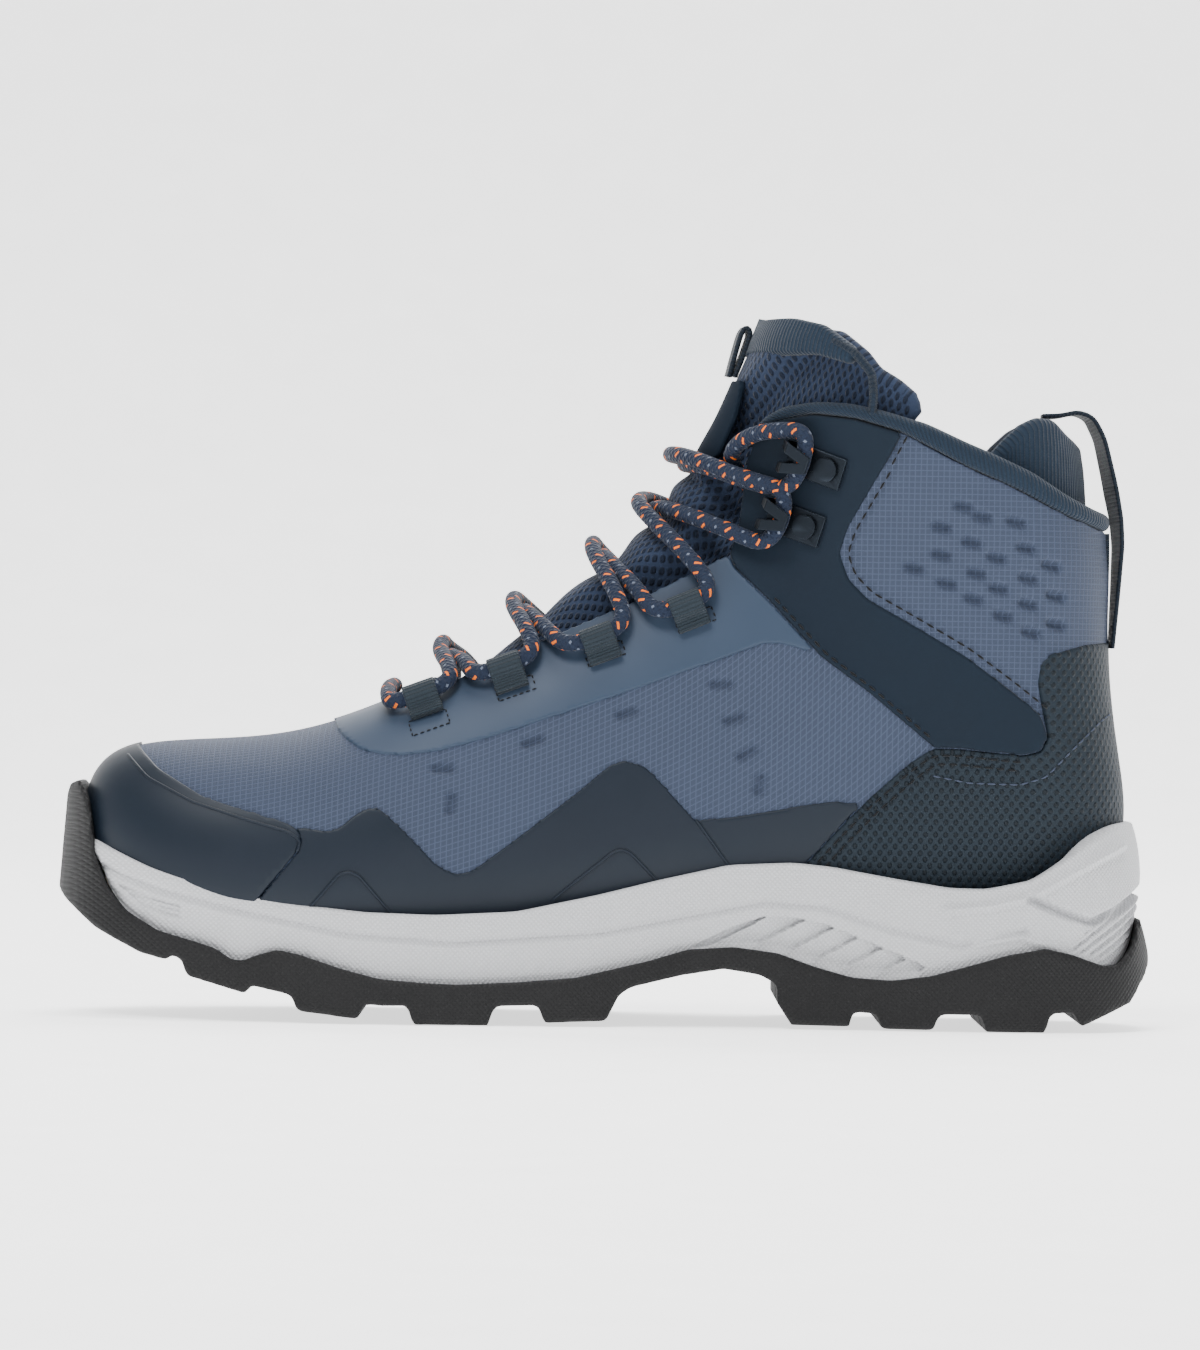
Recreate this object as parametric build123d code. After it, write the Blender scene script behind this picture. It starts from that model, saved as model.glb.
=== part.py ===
"""Mid-height hiking boot for the right foot, lasted on a strobel board and cemented to a foam midsole.

+X runs from toe to heel, the medial side faces -Y and +Z is up. The origin is on the ground under the middle of
the boot. Lengths are in millimetres. Side-view outlines are pairs (x, z) at the base size and are graded to the
driving sizes below; layers, gaps and hardware keep their own sizes.
"""

import os

import numpy as np
from build123d import *

# Driving sizes of the whole boot
BOOT_LENGTH = 310.0
BOOT_HEIGHT = 197.0
BOOT_WIDTH = 108.0

# Layers of the upper, from the outside in
OVERLAY = 1.2
CAP_SEAT = 0.03
FABRIC = 1.2
PADDING = 3.0
LINING = 1.0

# Sole unit
BOARD = 2.0
FOOTBED = 4.5
FOOTBED_GAP = 0.4
FOOTBED_SIDE_GAP = 0.9
SHANK_THICK = 1.6
SHANK_WIDTH = 24.0
SHANK_COVER = 1.0
TREAD_GROOVE = 4.0
LUG_ROOT = 1.5

# Tongue
TONGUE_GAP = 1.1
TONGUE_THICK = 6.5
CROWN_DEPTH = 1.1
TUCK_GAP = 1.6
BASE_THICK = 2.5
LABEL = 0.8
TAB_THICK = 1.2
TAB_WIDTH = 8.0

# Collar
BINDING_PROUD = 0.6
HEEL_PAD = 6.5
STRAP_THICK = 1.2
STRAP_WIDTH = 14.0

# Lace and what carries it
LACE_DIAMETER = 4.6
LACE_GAP = 0.4
WEBBING = 1.0
LOOP_WIDTH = 9.6
LOOP_TAIL = 4.5
HOOK_PLATE = 1.0
HOOK_LIFT = 0.55
HOOK_WIDTH = 9.0
HOOK_BACK = 5.0
HOOK_REACH = 12.0
HOOK_ARM = 2.6
RIVET_RADIUS = 3.4
RIVET_HEAD = 1.3
LACE_BEND = 4.2

# The last: top point x, z; sole or back point x, z; half width; place of the widest point from the top;
# width left at the sole or back; offset of the middle from the heel's line
LAST = [
    (-145.6, 61.0, -144.2, 44.5, 8.0, 0.60, 0.90, -9.0),
    (-143.5, 66.8, -142.2, 40.0, 15.5, 0.62, 0.90, -9.0),
    (-138.5, 72.6, -137.5, 35.5, 24.0, 0.66, 0.90, -8.5),
    (-128.5, 76.4, -128.0, 31.0, 33.5, 0.70, 0.92, -7.5),
    (-111.0, 78.0, -112.0, 27.5, 42.0, 0.74, 0.93, -6.0),
    (-85.0, 81.2, -88.0, 25.0, 47.5, 0.76, 0.94, -4.0),
    (-57.0, 91.5, -62.0, 24.0, 48.5, 0.76, 0.94, -2.0),
    (-36.0, 103.5, -34.0, 24.5, 46.0, 0.76, 0.92, -0.5),
    (-15.0, 117.5, -3.0, 26.5, 42.0, 0.75, 0.88, 0.0),
    (2.0, 130.5, 32.0, 29.5, 38.5, 0.72, 0.86, 0.0),
    (13.0, 141.5, 68.0, 32.0, 36.5, 0.68, 0.84, 0.0),
    (19.0, 150.5, 104.0, 33.5, 36.0, 0.65, 0.78, 0.0),
    (23.5, 157.5, 134.0, 38.0, 36.5, 0.62, 0.52, 0.0),
    (26.5, 163.0, 146.0, 56.0, 37.5, 0.58, 0.20, 0.0),
    (29.5, 168.5, 144.5, 78.0, 38.5, 0.56, 0.14, 0.0),
    (32.5, 175.0, 141.6, 102.0, 39.5, 0.54, 0.14, 0.0),
    (35.5, 182.0, 141.4, 126.0, 41.5, 0.52, 0.14, 0.0),
    (39.0, 190.0, 140.8, 150.0, 43.0, 0.50, 0.14, 0.0),
    (44.0, 203.0, 138.0, 177.0, 43.5, 0.50, 0.14, 0.0),
]
ROUND_TOP, ROUND_BACK = 2.25, 2.2
# Share of a layer's depth that its sole or back line is drawn in by, ring by ring
DRAWN_IN = [1, 0.8, 0.5, 0.1, -0.1, -0.1, -0.1, -0.1, -0.1, -0.1, -0.1, -0.1, 0.2, 1, 1, 1, 1, 1, 1]
RING_POINTS = 13

# Side-view outlines of the upper
THROAT = [(-61, 104), (-61, 90), (-41.5, 95.5), (-17.5, 107), (8.5, 118.5), (20, 124.5), (33.7, 131.6), (36, 139),
          (37, 147), (38, 156), (41, 166.5)]
COLLAR = [(44, 168.8), (56, 170.7), (68, 169.3), (81, 165.5), (99, 156.5), (114, 150.5), (128.5, 143.7), (155, 135)]
COLLAR_EDGE = [(38.3, 161), (39.6, 166.8), (42.2, 170.3), (47, 173), (56, 174.1), (65.5, 173.5), (75, 171.6),
               (87.7, 168.2), (99, 163.3), (109, 159.5), (118.7, 155.4), (128.4, 149.6), (136.4, 146),
               (155, 141)]
EYESTAY_LOW = [(-76, 95), (-76, 82.5), (-73, 79), (-68, 75.6), (-62, 74.3), (-56, 74.1), (-46, 75.4), (-30, 80),
               (10, 94), (43.5, 106.6), (48.2, 106.7), (53, 105.6), (60, 102.9)]
STRAP_FRONT = [(33.7, 131.6), (35.2, 128), (45.5, 118.2), (60, 102.9), (73, 93.5), (91.5, 78.3)]
STRAP_REAR = [(98, 78.3), (105, 77.7), (116.4, 76.7), (121.7, 78), (123.6, 82), (121.5, 88), (113.5, 94.2),
              (100, 104), (86, 112), (72.4, 119.5), (67, 125), (64.5, 132), (66.7, 139.2), (77, 157.5), (81, 165.5)]
HEEL_TOP = [(56, 44.9), (63.6, 53.5), (74, 64.4), (84.7, 74), (89, 77), (91.5, 78.3), (98, 78.3), (105, 77.7),
            (116.4, 76.7), (121.7, 78), (123.6, 82), (122, 90), (120.3, 97), (121, 102.5), (124, 105.1),
            (134, 108), (160, 111)]
CAP_LINE = [(-134.3, 95), (-133.6, 72.8), (-127, 66.4), (-114, 60), (-99, 55.5), (-87, 52.3), (-83.5, 49.9),
            (-84.5, 46.7), (-95, 33.5), (-98, 29)]
RAND_TOP = [(-131.2, 95), (-131.2, 76.2), (-124, 69.3), (-111, 61.8), (-94.3, 56.7), (-83.5, 53.8), (-76, 52.8),
            (-72.8, 54), (-68.6, 57.7), (-65, 59.5), (-61.8, 59.3), (-56.4, 54.6), (-50, 48.2), (-45.4, 43.4),
            (-40, 41.3), (-35.8, 42.5), (-24, 51.4), (-8, 64), (0.5, 71.4), (5, 73.7), (11.2, 72.1), (14.7, 68.8),
            (25.6, 57.1), (36.3, 58.4), (63.4, 63.1), (72, 62.4)]
HEEL_PAD_LINE = [(112, 128), (106, 158), (113, 164.5), (119, 169), (124.5, 171.3), (130, 171.4), (150, 171.4),
                 (150, 128)]
PANEL_SPLIT = [(46, 195), (50, 136), (60, 116), (100, 90), (170, 84)]
HEEL_STRAP = [(122, 172.2), (127, 172.4), (131.4, 173.6), (135.5, 172), (138.6, 166), (141.3, 154.6),
              (143.6, 143.4), (144.2, 136), (143.6, 123), (142.7, 107)]
BASE_FLAP = [(-74, 108), (-74, 82), (-51, 80), (-51, 108)]
TONGUE_LINE = [(-50, 108), (-50, 84.5), (-38, 88), (-10, 98), (20, 112), (42, 128), (52, 142), (64, 160), (84, 171),
               (80, 182), (68, 189), (58, 195), (50, 197.5), (42, 195), (30, 197), (0, 155), (-40, 120)]
TONGUE_CROWN = [(-50, 108), (-50, 93.9), (-40, 97.6), (-17, 110), (9, 122.6), (20, 129), (28.5, 136), (31.5, 147),
                (32.5, 158), (34.5, 168), (42, 178), (50, 190), (50, 196.3), (42, 193.2), (38.6, 190),
                (30, 191), (0, 155), (-40, 120)]
LABEL_LINE = [(10, 158.5), (30.5, 158.5), (35.3, 170), (37.4, 180.5), (10, 180.5)]
TONGUE_TAB = [(33.1, 182), (36.2, 194.3), (36.9, 196.1), (38.1, 196.9), (39.2, 196), (39, 194.2), (34.7, 182)]
VAMP_SEAM, PUFF_END, COUNTER_FRONT, COUNTER_TOP = -45.0, -96.0, 84.0, 92.0
SHANK_FRONT, SHANK_REAR = -12.0, 84.0

# Sole unit in side view
MIDSOLE_TOP = [(-141.4, 45.2), (-125, 40.4), (-105.3, 35.6), (-85.4, 31.7), (-65.6, 29.8), (-45.8, 29.3),
               (-23.2, 30.5), (-0.6, 35.4), (16, 39.7), (35.4, 44.2), (53, 45.1), (63.7, 44.1), (80, 41.3),
               (96.4, 38.8), (107, 38.7), (120, 41.4), (128.5, 46.4), (137.2, 51.9), (146.7, 57.1), (150.2, 53.5)]
OUTSOLE_LINE = [(-141.6, 44.6), (-137.5, 35.9), (-132, 29.5), (-123, 24.3), (-112, 21.4), (-106.7, 19.8),
                (-102.4, 17), (-99.3, 16.5), (-94.8, 18.3), (-89.5, 19.8), (-83, 18.5), (-72, 15), (-61.3, 12.3),
                (-50, 11.4), (-39.5, 11), (-23.4, 11.8), (-7, 13.2), (13.3, 18.1), (24, 21.4), (37, 22.2),
                (49, 20.7), (59, 17.2), (69.6, 14.3), (80.4, 13.6), (91.4, 15), (102, 18), (113, 21.2),
                (123.5, 23.1), (131, 21.5), (140, 18.3), (144.2, 18.6), (148.4, 23.5), (150.6, 32.3)]
TREAD_BASE = [(-150.5, 32), (-141.5, 25), (-128, 18.2), (-118.5, 17.6), (-112, 15), (-96, 9.8), (-80, 6.4),
              (-60, 5), (-28, 5.3), (2, 6.2), (8, 10.7), (22, 14.2), (34, 16.2), (44, 14.7), (50, 11.5),
              (56, 6.5), (74, 4.6), (104, 4.6), (130, 5.4), (143, 8.2), (152, 14), (155, 19.5), (152.5, 27)]
TOE_BUMPER = [(-141.4, 45.2), (-142.3, 52.3), (-143.6, 59.3), (-146.5, 65.5), (-149.9, 64.3), (-152.1, 59.2),
              (-153.7, 53.5), (-155.2, 45), (-155.7, 40.4), (-153.4, 35.1)]
# Lugs: front and rear at the tread, front and rear at the ground, height of the two ground corners
LUGS = [
    (-143.0, -131.5, -141.0, -133.0, 24.6, 20.6),
    (-129.0, -118.8, -128.0, -120.0, 18.2, 16.2),
    (-116.5, -96.0, -114.5, -98.0, 12.2, 7.6),
    (-86.0, -65.0, -83.5, -66.5, 3.2, 1.2),
    (-53.5, -29.0, -51.5, -31.0, 0.0, 0.0),
    (-17.5, 4.5, -15.5, 1.5, 0.8, 1.4),
    (49.0, 70.5, 53.0, 69.0, 1.0, 0.8),
    (76.0, 94.0, 78.0, 92.5, 0.3, 0.2),
    (105.0, 125.0, 107.0, 123.5, 0.0, 0.0),
    (130.5, 152.0, 133.5, 148.0, 1.5, 8.0),
]
# Plan outline of the sole: x, medial edge, lateral edge
SOLE_PLAN = [(-147, -22, 5), (-138, -35, 18), (-122, -44.5, 32), (-100, -50.5, 43), (-78, -53.5, 48.5),
             (-55, -54, 51), (-30, -51, 51), (0, -45, 47.5), (35, -40.5, 43.5), (70, -39.5, 42),
             (100, -40.5, 41.5), (125, -38, 38.5), (142, -28, 28)]
SOLE_TOE, SOLE_HEEL, SOLE_TOE_Y = -151.0, 151.5, -9.0
OUTSOLE_FLARE = 4.5
MIDSOLE_DRAFT = 2.6

# Where the lace loops and hooks sit on each side, and where the lace crosses the tongue
CROSSINGS = [(-58.1, 91.9), (-42.2, 102.9), (-22.6, 116.5), (-0.3, 131.6), (13.1, 144), (21.4, 156.9)]
LOOPS = [(-50.2, 88.0), (-27.1, 96.6), (-1.8, 105.8), (22.6, 115.9)]
HOOKS = [(55.2, 139.3), (60.7, 155.3)]
HOOK_TILT = 20.0
# Way of a lace end from the upper hook to its tuck beside the tongue: x, z, lift
TUCK = [(50, 166.5, 4.2), (41, 164.5, 3.6), (34.2, 159.5, 1.5), (33.2, 154.8, -4.5), (34.6, 151.6, -10.8),
        (48.5, 142, -11)]

LENGTH_GRADE = BOOT_LENGTH / 310.0
HEIGHT_GRADE = BOOT_HEIGHT / 197.0
WIDTH_GRADE = BOOT_WIDTH / 108.0
LACE_RADIUS = LACE_DIAMETER / 2
FABRIC_FACE = OVERLAY
PADDING_FACE = OVERLAY + FABRIC
LINING_FACE = PADDING_FACE + PADDING
INSIDE = LINING_FACE + LINING


def graded(points):
    """Side-view points at the boot's own size."""
    return [(x * LENGTH_GRADE, z * HEIGHT_GRADE) for x, z in points]


def natural_cubic(rows):
    """A smooth curve through rows of numbers, as a function of the row's index."""
    rows = np.asarray(rows, float)
    count = len(rows)
    system, right = np.eye(count), np.zeros_like(rows)
    for i in range(1, count - 1):
        system[i, i - 1 : i + 2] = (1, 4, 1)
        right[i] = 6 * (rows[i + 1] - 2 * rows[i] + rows[i - 1])
    bend = np.linalg.solve(system, right)

    def at(t):
        t = np.asarray(t, float)
        i = np.clip(t.astype(int), 0, count - 2)
        u = (t - i)[..., None]
        curve = ((1 - u) ** 3 * bend[i] + u**3 * bend[i + 1]) / 6
        return curve + (rows[i] - bend[i] / 6) * (1 - u) + (rows[i + 1] - bend[i + 1] / 6) * u

    return at


GRADES = np.array([LENGTH_GRADE, HEIGHT_GRADE, LENGTH_GRADE, HEIGHT_GRADE, WIDTH_GRADE, 1, 1, WIDTH_GRADE])
RINGS = np.array(LAST) * GRADES
ring_at = natural_cubic(RINGS)
LAST_RING = len(RINGS) - 1
SIDES = (("medial", -1), ("lateral", 1))


def ring_points(ring, around):
    """Points of one ring of the last. around runs from -1, medial edge, over the top at 0 to 1, lateral edge."""
    tx, tz, bx, bz, half, widest, left, middle = np.moveaxis(np.asarray(ring), -1, 0)
    down = (1 - np.cos(np.pi * np.abs(around))) / 2
    above = (1 - np.clip((widest - down) / widest, 0, 1) ** ROUND_TOP) ** (1 / ROUND_TOP)
    below = np.clip((down - widest) / (1 - widest), 0, 1) ** ROUND_BACK
    below = (1 - (1 - left**ROUND_BACK) * below) ** (1 / ROUND_BACK)
    share = np.where(down < widest, above, below)
    return np.stack([tx + (bx - tx) * down, middle + np.sign(around) * half * share, tz + (bz - tz) * down], -1)


def surface(ring, around):
    return ring_points(ring_at(ring), np.asarray(around, float))


def normal(ring, around, step=1e-3):
    """Outward direction of the last's surface."""
    ring, around = np.asarray(ring, float), np.asarray(around, float)
    along = surface(np.minimum(ring + step, LAST_RING), around) - surface(np.maximum(ring - step, 0), around)
    across = surface(ring, np.minimum(around + step, 1)) - surface(ring, np.maximum(around - step, -1))
    out = np.cross(along, across)
    return out / np.linalg.norm(out)


def find(x, z, side):
    """The ring and the place around it of a side-view point."""
    low, high = 0.0, float(LAST_RING)
    for _ in range(40):
        middle = (low + high) / 2
        tx, tz, bx, bz = ring_at(middle)[:4]
        ahead = (bx - tx) * (z - tz) - (bz - tz) * (x - tx)
        low, high = (middle, high) if ahead > 0 else (low, middle)
    tx, tz, bx, bz = ring_at(low)[:4]
    down = ((x - tx) * (bx - tx) + (z - tz) * (bz - tz)) / ((bx - tx) ** 2 + (bz - tz) ** 2)
    return low, side * np.arccos(np.clip(1 - 2 * down, -1, 1)) / np.pi


def on_last(x, z, side, lift=0.0):
    """A point on the upper at a side-view place, lifted off it, and the outward direction there."""
    ring, around = find(x, z, side)
    out = normal(ring, around)
    return surface(ring, around) + lift * out, out


def unit(rows):
    return rows / np.linalg.norm(rows, axis=-1, keepdims=True)


def last_solid(depth):
    """The last's solid, depth inside the upper's outer surface."""
    step = 0.02
    places = np.arange(len(RINGS), dtype=float)
    ahead = ring_at(np.minimum(places + step, LAST_RING)) - ring_at(np.maximum(places - step, 0))
    top, back = unit(ahead[:, 0:2]), unit(ahead[:, 2:4])
    run = np.linalg.norm((ahead[:, 0:2] + ahead[:, 2:4]) / 2, axis=1)
    rings = RINGS.copy()
    rings[:, 0] += depth * top[:, 1]
    rings[:, 1] -= depth * top[:, 0]
    rings[:, 2] -= depth * back[:, 1] * DRAWN_IN
    rings[:, 3] += depth * back[:, 0] * DRAWN_IN
    rings[:, 4] -= depth * run / np.hypot(run, ahead[:, 4])
    around = np.linspace(-1, 1, RING_POINTS)
    wires = []
    for ring in rings:
        points = [Vector(*p) for p in ring_points(ring, around)]
        wires.append(Wire([Edge.make_spline(points), Edge.make_line(points[-1], points[0])]))
    return Solid.make_loft(wires)


def prism(points, side=0):
    """A side-view outline carried across the boot: both sides, or only the medial (-1) or lateral (1) one."""
    reach = BOOT_WIDTH
    corners = [Vector(x, 0, z) for x, z in points]
    face = Face(Wire(Polyline(*corners, close=True).edges()))
    if side:
        return Solid.extrude(face, Vector(0, side * reach, 0))
    return Solid.extrude(face.moved(Location((0, -reach, 0))), Vector(0, 2 * reach, 0))


def board_line(lift):
    """Top of the lasting board from heel to toe in side view, lifted."""
    rows = [(ring[2], ring[3] + lift) for ring in RINGS[1:13]]
    return list(reversed(rows))


def save(node, *solids):
    shape = solids[0] if len(solids) == 1 else Compound(children=list(solids))
    export_step(shape, f"parts/{node}.step")


def only_solid(shape):
    """The one solid of a cut, without slivers that it leaves."""
    return max(shape.solids(), key=lambda s: s.volume)


LASTS = {}


def layer(outer, inner, points, side=0):
    """The stretch of one layer of the upper that lies inside a side-view outline."""
    for depth in (outer, inner):
        if depth not in LASTS:
            LASTS[depth] = last_solid(depth)
    return only_solid((LASTS[outer] & prism(points, side)) - LASTS[inner])


# ---------------------------------------------------------------- upper

def upper_outlines():
    """Side-view outlines of the vamp, and of all that lies behind its seam, at the boot's own size."""
    throat, collar, foot = graded(THROAT), graded(COLLAR), board_line(BOARD)
    ahead, behind = -165 * LENGTH_GRADE, 165 * LENGTH_GRADE
    seam = VAMP_SEAM * LENGTH_GRADE
    seam_top = float(np.interp(seam, *np.transpose(throat[1:])))
    seam_low = float(np.interp(seam, *np.transpose(foot[::-1])))
    vamp = [(seam, seam_low), *[p for p in foot if p[0] < seam], (ahead, foot[-1][1]), (ahead, throat[0][1])]
    vamp += [p for p in throat if p[0] < seam] + [(seam, seam_top)]
    rear = [(seam, seam_top), *[p for p in throat if p[0] > seam], *collar, (behind, foot[0][1])]
    rear += [p for p in foot if p[0] > seam] + [(seam, seam_low)]
    return vamp, rear


def block(x_low, x_high, z_low, z_high):
    """A block across the boot between two x and two z places."""
    return prism(graded([(x_low, z_low), (x_high, z_low), (x_high, z_high), (x_low, z_high)]))


def make_fabric(vamp, rear):
    """Ripstop panels: the vamp, and a quarter and a collar panel on each side, which meet under the strap."""
    save("vamp", layer(FABRIC_FACE, PADDING_FACE, vamp))
    above = prism(graded(PANEL_SPLIT + [(170, 195)]))
    for name, side in SIDES:
        whole = layer(FABRIC_FACE, PADDING_FACE, rear, side)
        save(f"{name}_quarter", only_solid(whole - above))
        save(f"{name}_collar_panel", only_solid(whole & above))


def make_padding(vamp, rear):
    """What lies between fabric and lining: toe puff, vamp interlining, heel counter and collar foam."""
    whole = layer(PADDING_FACE, LINING_FACE, vamp)
    front = block(-170, PUFF_END, 0, 120)
    save("toe_puff", only_solid(whole & front))
    save("vamp_interlining", only_solid(whole - front))
    heel = block(COUNTER_FRONT, 170, 0, COUNTER_TOP)
    whole = layer(PADDING_FACE, LINING_FACE, rear_wrap(rear))
    save("heel_counter", only_solid(whole & heel))
    for name, side in SIDES:
        save(f"{name}_foam", only_solid(layer(PADDING_FACE, LINING_FACE, rear, side) - heel))


def rear_wrap(rear):
    """The part of the rear outline round the heel, far enough forward for the counter."""
    edge = (COUNTER_FRONT - 2) * LENGTH_GRADE
    top = (COUNTER_TOP + 4) * HEIGHT_GRADE
    foot = [p for p in board_line(BOARD) if p[0] > edge]
    low = float(np.interp(edge, *np.transpose(board_line(BOARD)[::-1])))
    return [(edge, low), (edge, top), (165 * LENGTH_GRADE, top), (165 * LENGTH_GRADE, foot[0][1]), *foot]


def make_lining(vamp, rear):
    save("vamp_lining", layer(LINING_FACE, INSIDE, vamp))
    for name, side in SIDES:
        save(f"{name}_lining", layer(LINING_FACE, INSIDE, rear, side))


def make_overlays():
    """Welded film overlays, the ankle straps and the woven heel panel on the outside of the fabric."""
    foot = board_line(BOARD)
    toe_x, back_x = -165 * LENGTH_GRADE, 165 * LENGTH_GRADE
    cap, heel, rand = graded(CAP_LINE), graded(HEEL_TOP), graded(RAND_TOP)
    cap_foot = [p for p in foot if p[0] < cap[-1][0]]
    save("toe_cap", layer(CAP_SEAT, OVERLAY, cap + cap_foot + [(toe_x, foot[-1][1]), (toe_x, cap[0][1])]))
    rear_foot = [p for p in foot if p[0] > heel[0][0]]
    heel_low = (heel[0][0], float(np.interp(heel[0][0], *np.transpose(foot[::-1]))))
    save("heel_panel", layer(0, OVERLAY, heel + [(back_x, foot[0][1])] + rear_foot + [heel_low]))
    middle_foot = [p for p in foot if cap[-1][0] < p[0] < heel[0][0]]
    band = rand + heel[1::-1] + [heel_low] + middle_foot + cap[::-1]
    for name, side in SIDES:
        save(f"{name}_rand", layer(0, OVERLAY, band, side))
    low, front, throat = graded(EYESTAY_LOW), graded(STRAP_FRONT), graded(THROAT)
    save("eyestay", layer(0, OVERLAY, low + front[2::-1] + throat[5::-1]))
    strap = front + graded(STRAP_REAR) + graded(COLLAR)[2::-1] + throat[:6:-1]
    for name, side in SIDES:
        save(f"{name}_ankle_strap", layer(0, OVERLAY, strap, side))


def make_collar():
    """Binding over all the layers' top edge, the heel pad above it and the pull strap behind."""
    edge = graded([(39.4, 160.8), (41, 166.5)]) + graded(COLLAR) + graded(COLLAR_EDGE)[::-1]
    save("collar_binding", layer(-BINDING_PROUD, INSIDE, edge))
    save("heel_pad", layer(INSIDE, INSIDE + HEEL_PAD, graded(HEEL_PAD_LINE)))
    save("heel_pull_strap", webbing_strip(graded(HEEL_STRAP), STRAP_THICK, STRAP_WIDTH))


def webbing_strip(line, thick, width):
    """Flat webbing on edge in side view: a line given thickness, carried across the boot's middle."""
    line = np.array(line, float)
    along = unit(np.gradient(line, axis=0))
    out = np.stack([-along[:, 1], along[:, 0]], 1) * thick / 2
    corners = [Vector(x, -width / 2, z) for x, z in [*(line + out), *(line - out)[::-1]]]
    face = Face(Wire(Polyline(*corners, close=True).edges()))
    return Solid.extrude(face, Vector(0, width, 0))


def make_tongue():
    """Padded tongue under the eyestays, with a crown that fills the throat, its foot, label and pull tab."""
    outer, inner = INSIDE + TONGUE_GAP, INSIDE + TONGUE_GAP + TONGUE_THICK
    whole = layer(outer, inner, graded(TONGUE_LINE)) + layer(CROWN_DEPTH, outer + 1, graded(TONGUE_CROWN))
    for _, side in SIDES:
        way = [on_last(x, z, side, lift)[0] for x, z, lift in graded_lifts(TUCK[1:])]
        whole -= tube(rounded_wire(way, LACE_BEND), LACE_RADIUS + TUCK_GAP)
    save("tongue", only_solid(whole))
    save("tongue_base", layer(INSIDE, INSIDE + BASE_THICK, graded(BASE_FLAP)))
    save("tongue_label", layer(CROWN_DEPTH - LABEL, CROWN_DEPTH, graded(LABEL_LINE)))
    save("tongue_pull_tab", webbing_strip(graded(TONGUE_TAB), TAB_THICK, TAB_WIDTH))


# ---------------------------------------------------------------- sole unit

def plan_solid(grow, low, high, draft):
    """The sole's plan outline, grown, from one height to another, drawn in towards the top."""
    faces = []
    for height, extra in ((low, grow), (high, grow - draft)):
        plan = [(x * LENGTH_GRADE, y * WIDTH_GRADE) for x, y, _ in SOLE_PLAN]
        far = [(x * LENGTH_GRADE, y * WIDTH_GRADE) for x, _, y in SOLE_PLAN]
        toe, heel = (SOLE_TOE * LENGTH_GRADE, SOLE_TOE_Y * WIDTH_GRADE), (SOLE_HEEL * LENGTH_GRADE, 0)
        ring = np.array([toe, *plan, heel, *far[::-1]], float)
        run = unit(np.roll(ring, -1, 0) - np.roll(ring, 1, 0))
        ring = ring + extra * np.stack([run[:, 1], -run[:, 0]], 1)
        points = [Vector(x, y, height) for x, y in ring]
        faces.append(Wire([Edge.make_spline(points, periodic=True)]))
    return Solid.make_loft(faces)


def make_sole():
    base, line, top = graded(TREAD_BASE), graded(OUTSOLE_LINE), graded(MIDSOLE_TOP)
    bumper = graded(TOE_BUMPER)
    last = LASTS.setdefault(0, last_solid(0))
    high = 75 * HEIGHT_GRADE
    foam = plan_solid(0, 0, high, MIDSOLE_DRAFT) & prism(line[1:] + [(165 * LENGTH_GRADE, line[-1][1]),
                                                           (165 * LENGTH_GRADE, top[-1][1])] + top[::-1])
    board = prism([(x, z) for x, z in board_line(0)] + [(x, z) for x, z in board_line(BOARD)[::-1]])
    foam = only_solid(foam - last)
    shank = make_shank()
    save("shank", shank)
    save("midsole", only_solid(foam - shank))
    save("insole_board", only_solid(last & board))
    rubber_outline = base + line[:0:-1] + bumper
    rubber = plan_solid(OUTSOLE_FLARE, 0, high, OUTSOLE_FLARE + 1)
    sheet = rubber & prism(rubber_outline)
    under = prism(graded([(-170, -2), (170, -2)]) + [(x, z + LUG_ROOT) for x, z in base[::-1]])
    grooves = [Location((0, y * WIDTH_GRADE, 0)) * Box(2 * BOOT_LENGTH, TREAD_GROOVE, 80) for y in (-18, 18)]
    for front, rear, low_front, low_rear, z_front, z_rear in LUGS:
        deep = [(front, z_front + 14), (rear, z_rear + 14), (rear, z_rear + 6), (low_rear, z_rear),
                (low_front, z_front), (front, z_front + 6)]
        lug = (rubber & prism(graded(deep))) & under
        for groove in grooves:
            lug -= groove
        sheet += lug
    save("outsole", only_solid(sheet - last))


def make_shank():
    """Flat stiffener moulded into the midsole under the arch."""
    xs = np.linspace(SHANK_FRONT, SHANK_REAR, 7) * LENGTH_GRADE
    board = np.transpose(board_line(0)[::-1])
    top = [(float(x), float(np.interp(x, *board)) - SHANK_COVER) for x in xs]
    low = [(x, z - SHANK_THICK) for x, z in top]
    face = Face(Wire(Polyline(*[Vector(x, -SHANK_WIDTH / 2, z) for x, z in top + low[::-1]], close=True).edges()))
    return Solid.extrude(face, Vector(0, SHANK_WIDTH, 0))


def make_footbed():
    """Removable footbed that lies on the lasting board."""
    low = [(x, z) for x, z in board_line(BOARD + FOOTBED_GAP)]
    high = [(x, z) for x, z in board_line(BOARD + FOOTBED_GAP + FOOTBED)]
    save("footbed", only_solid(last_solid(INSIDE + FOOTBED_SIDE_GAP) & prism(low + high[::-1])))


# ---------------------------------------------------------------- lace and its hardware

def place_frame(x, z, side, lift, along):
    """A plane on the upper at a side-view place: x along the side-view direction, z outward."""
    point, out = on_last(x, z, side, lift)
    step = 0.5
    ahead, _ = on_last(x + step * along[0], z + step * along[1], side)
    behind, _ = on_last(x - step * along[0], z - step * along[1], side)
    run = ahead - behind
    run -= out * (run @ out)
    return Plane(origin=Vector(*point), x_dir=Vector(*unit(run)), z_dir=Vector(*out))


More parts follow.
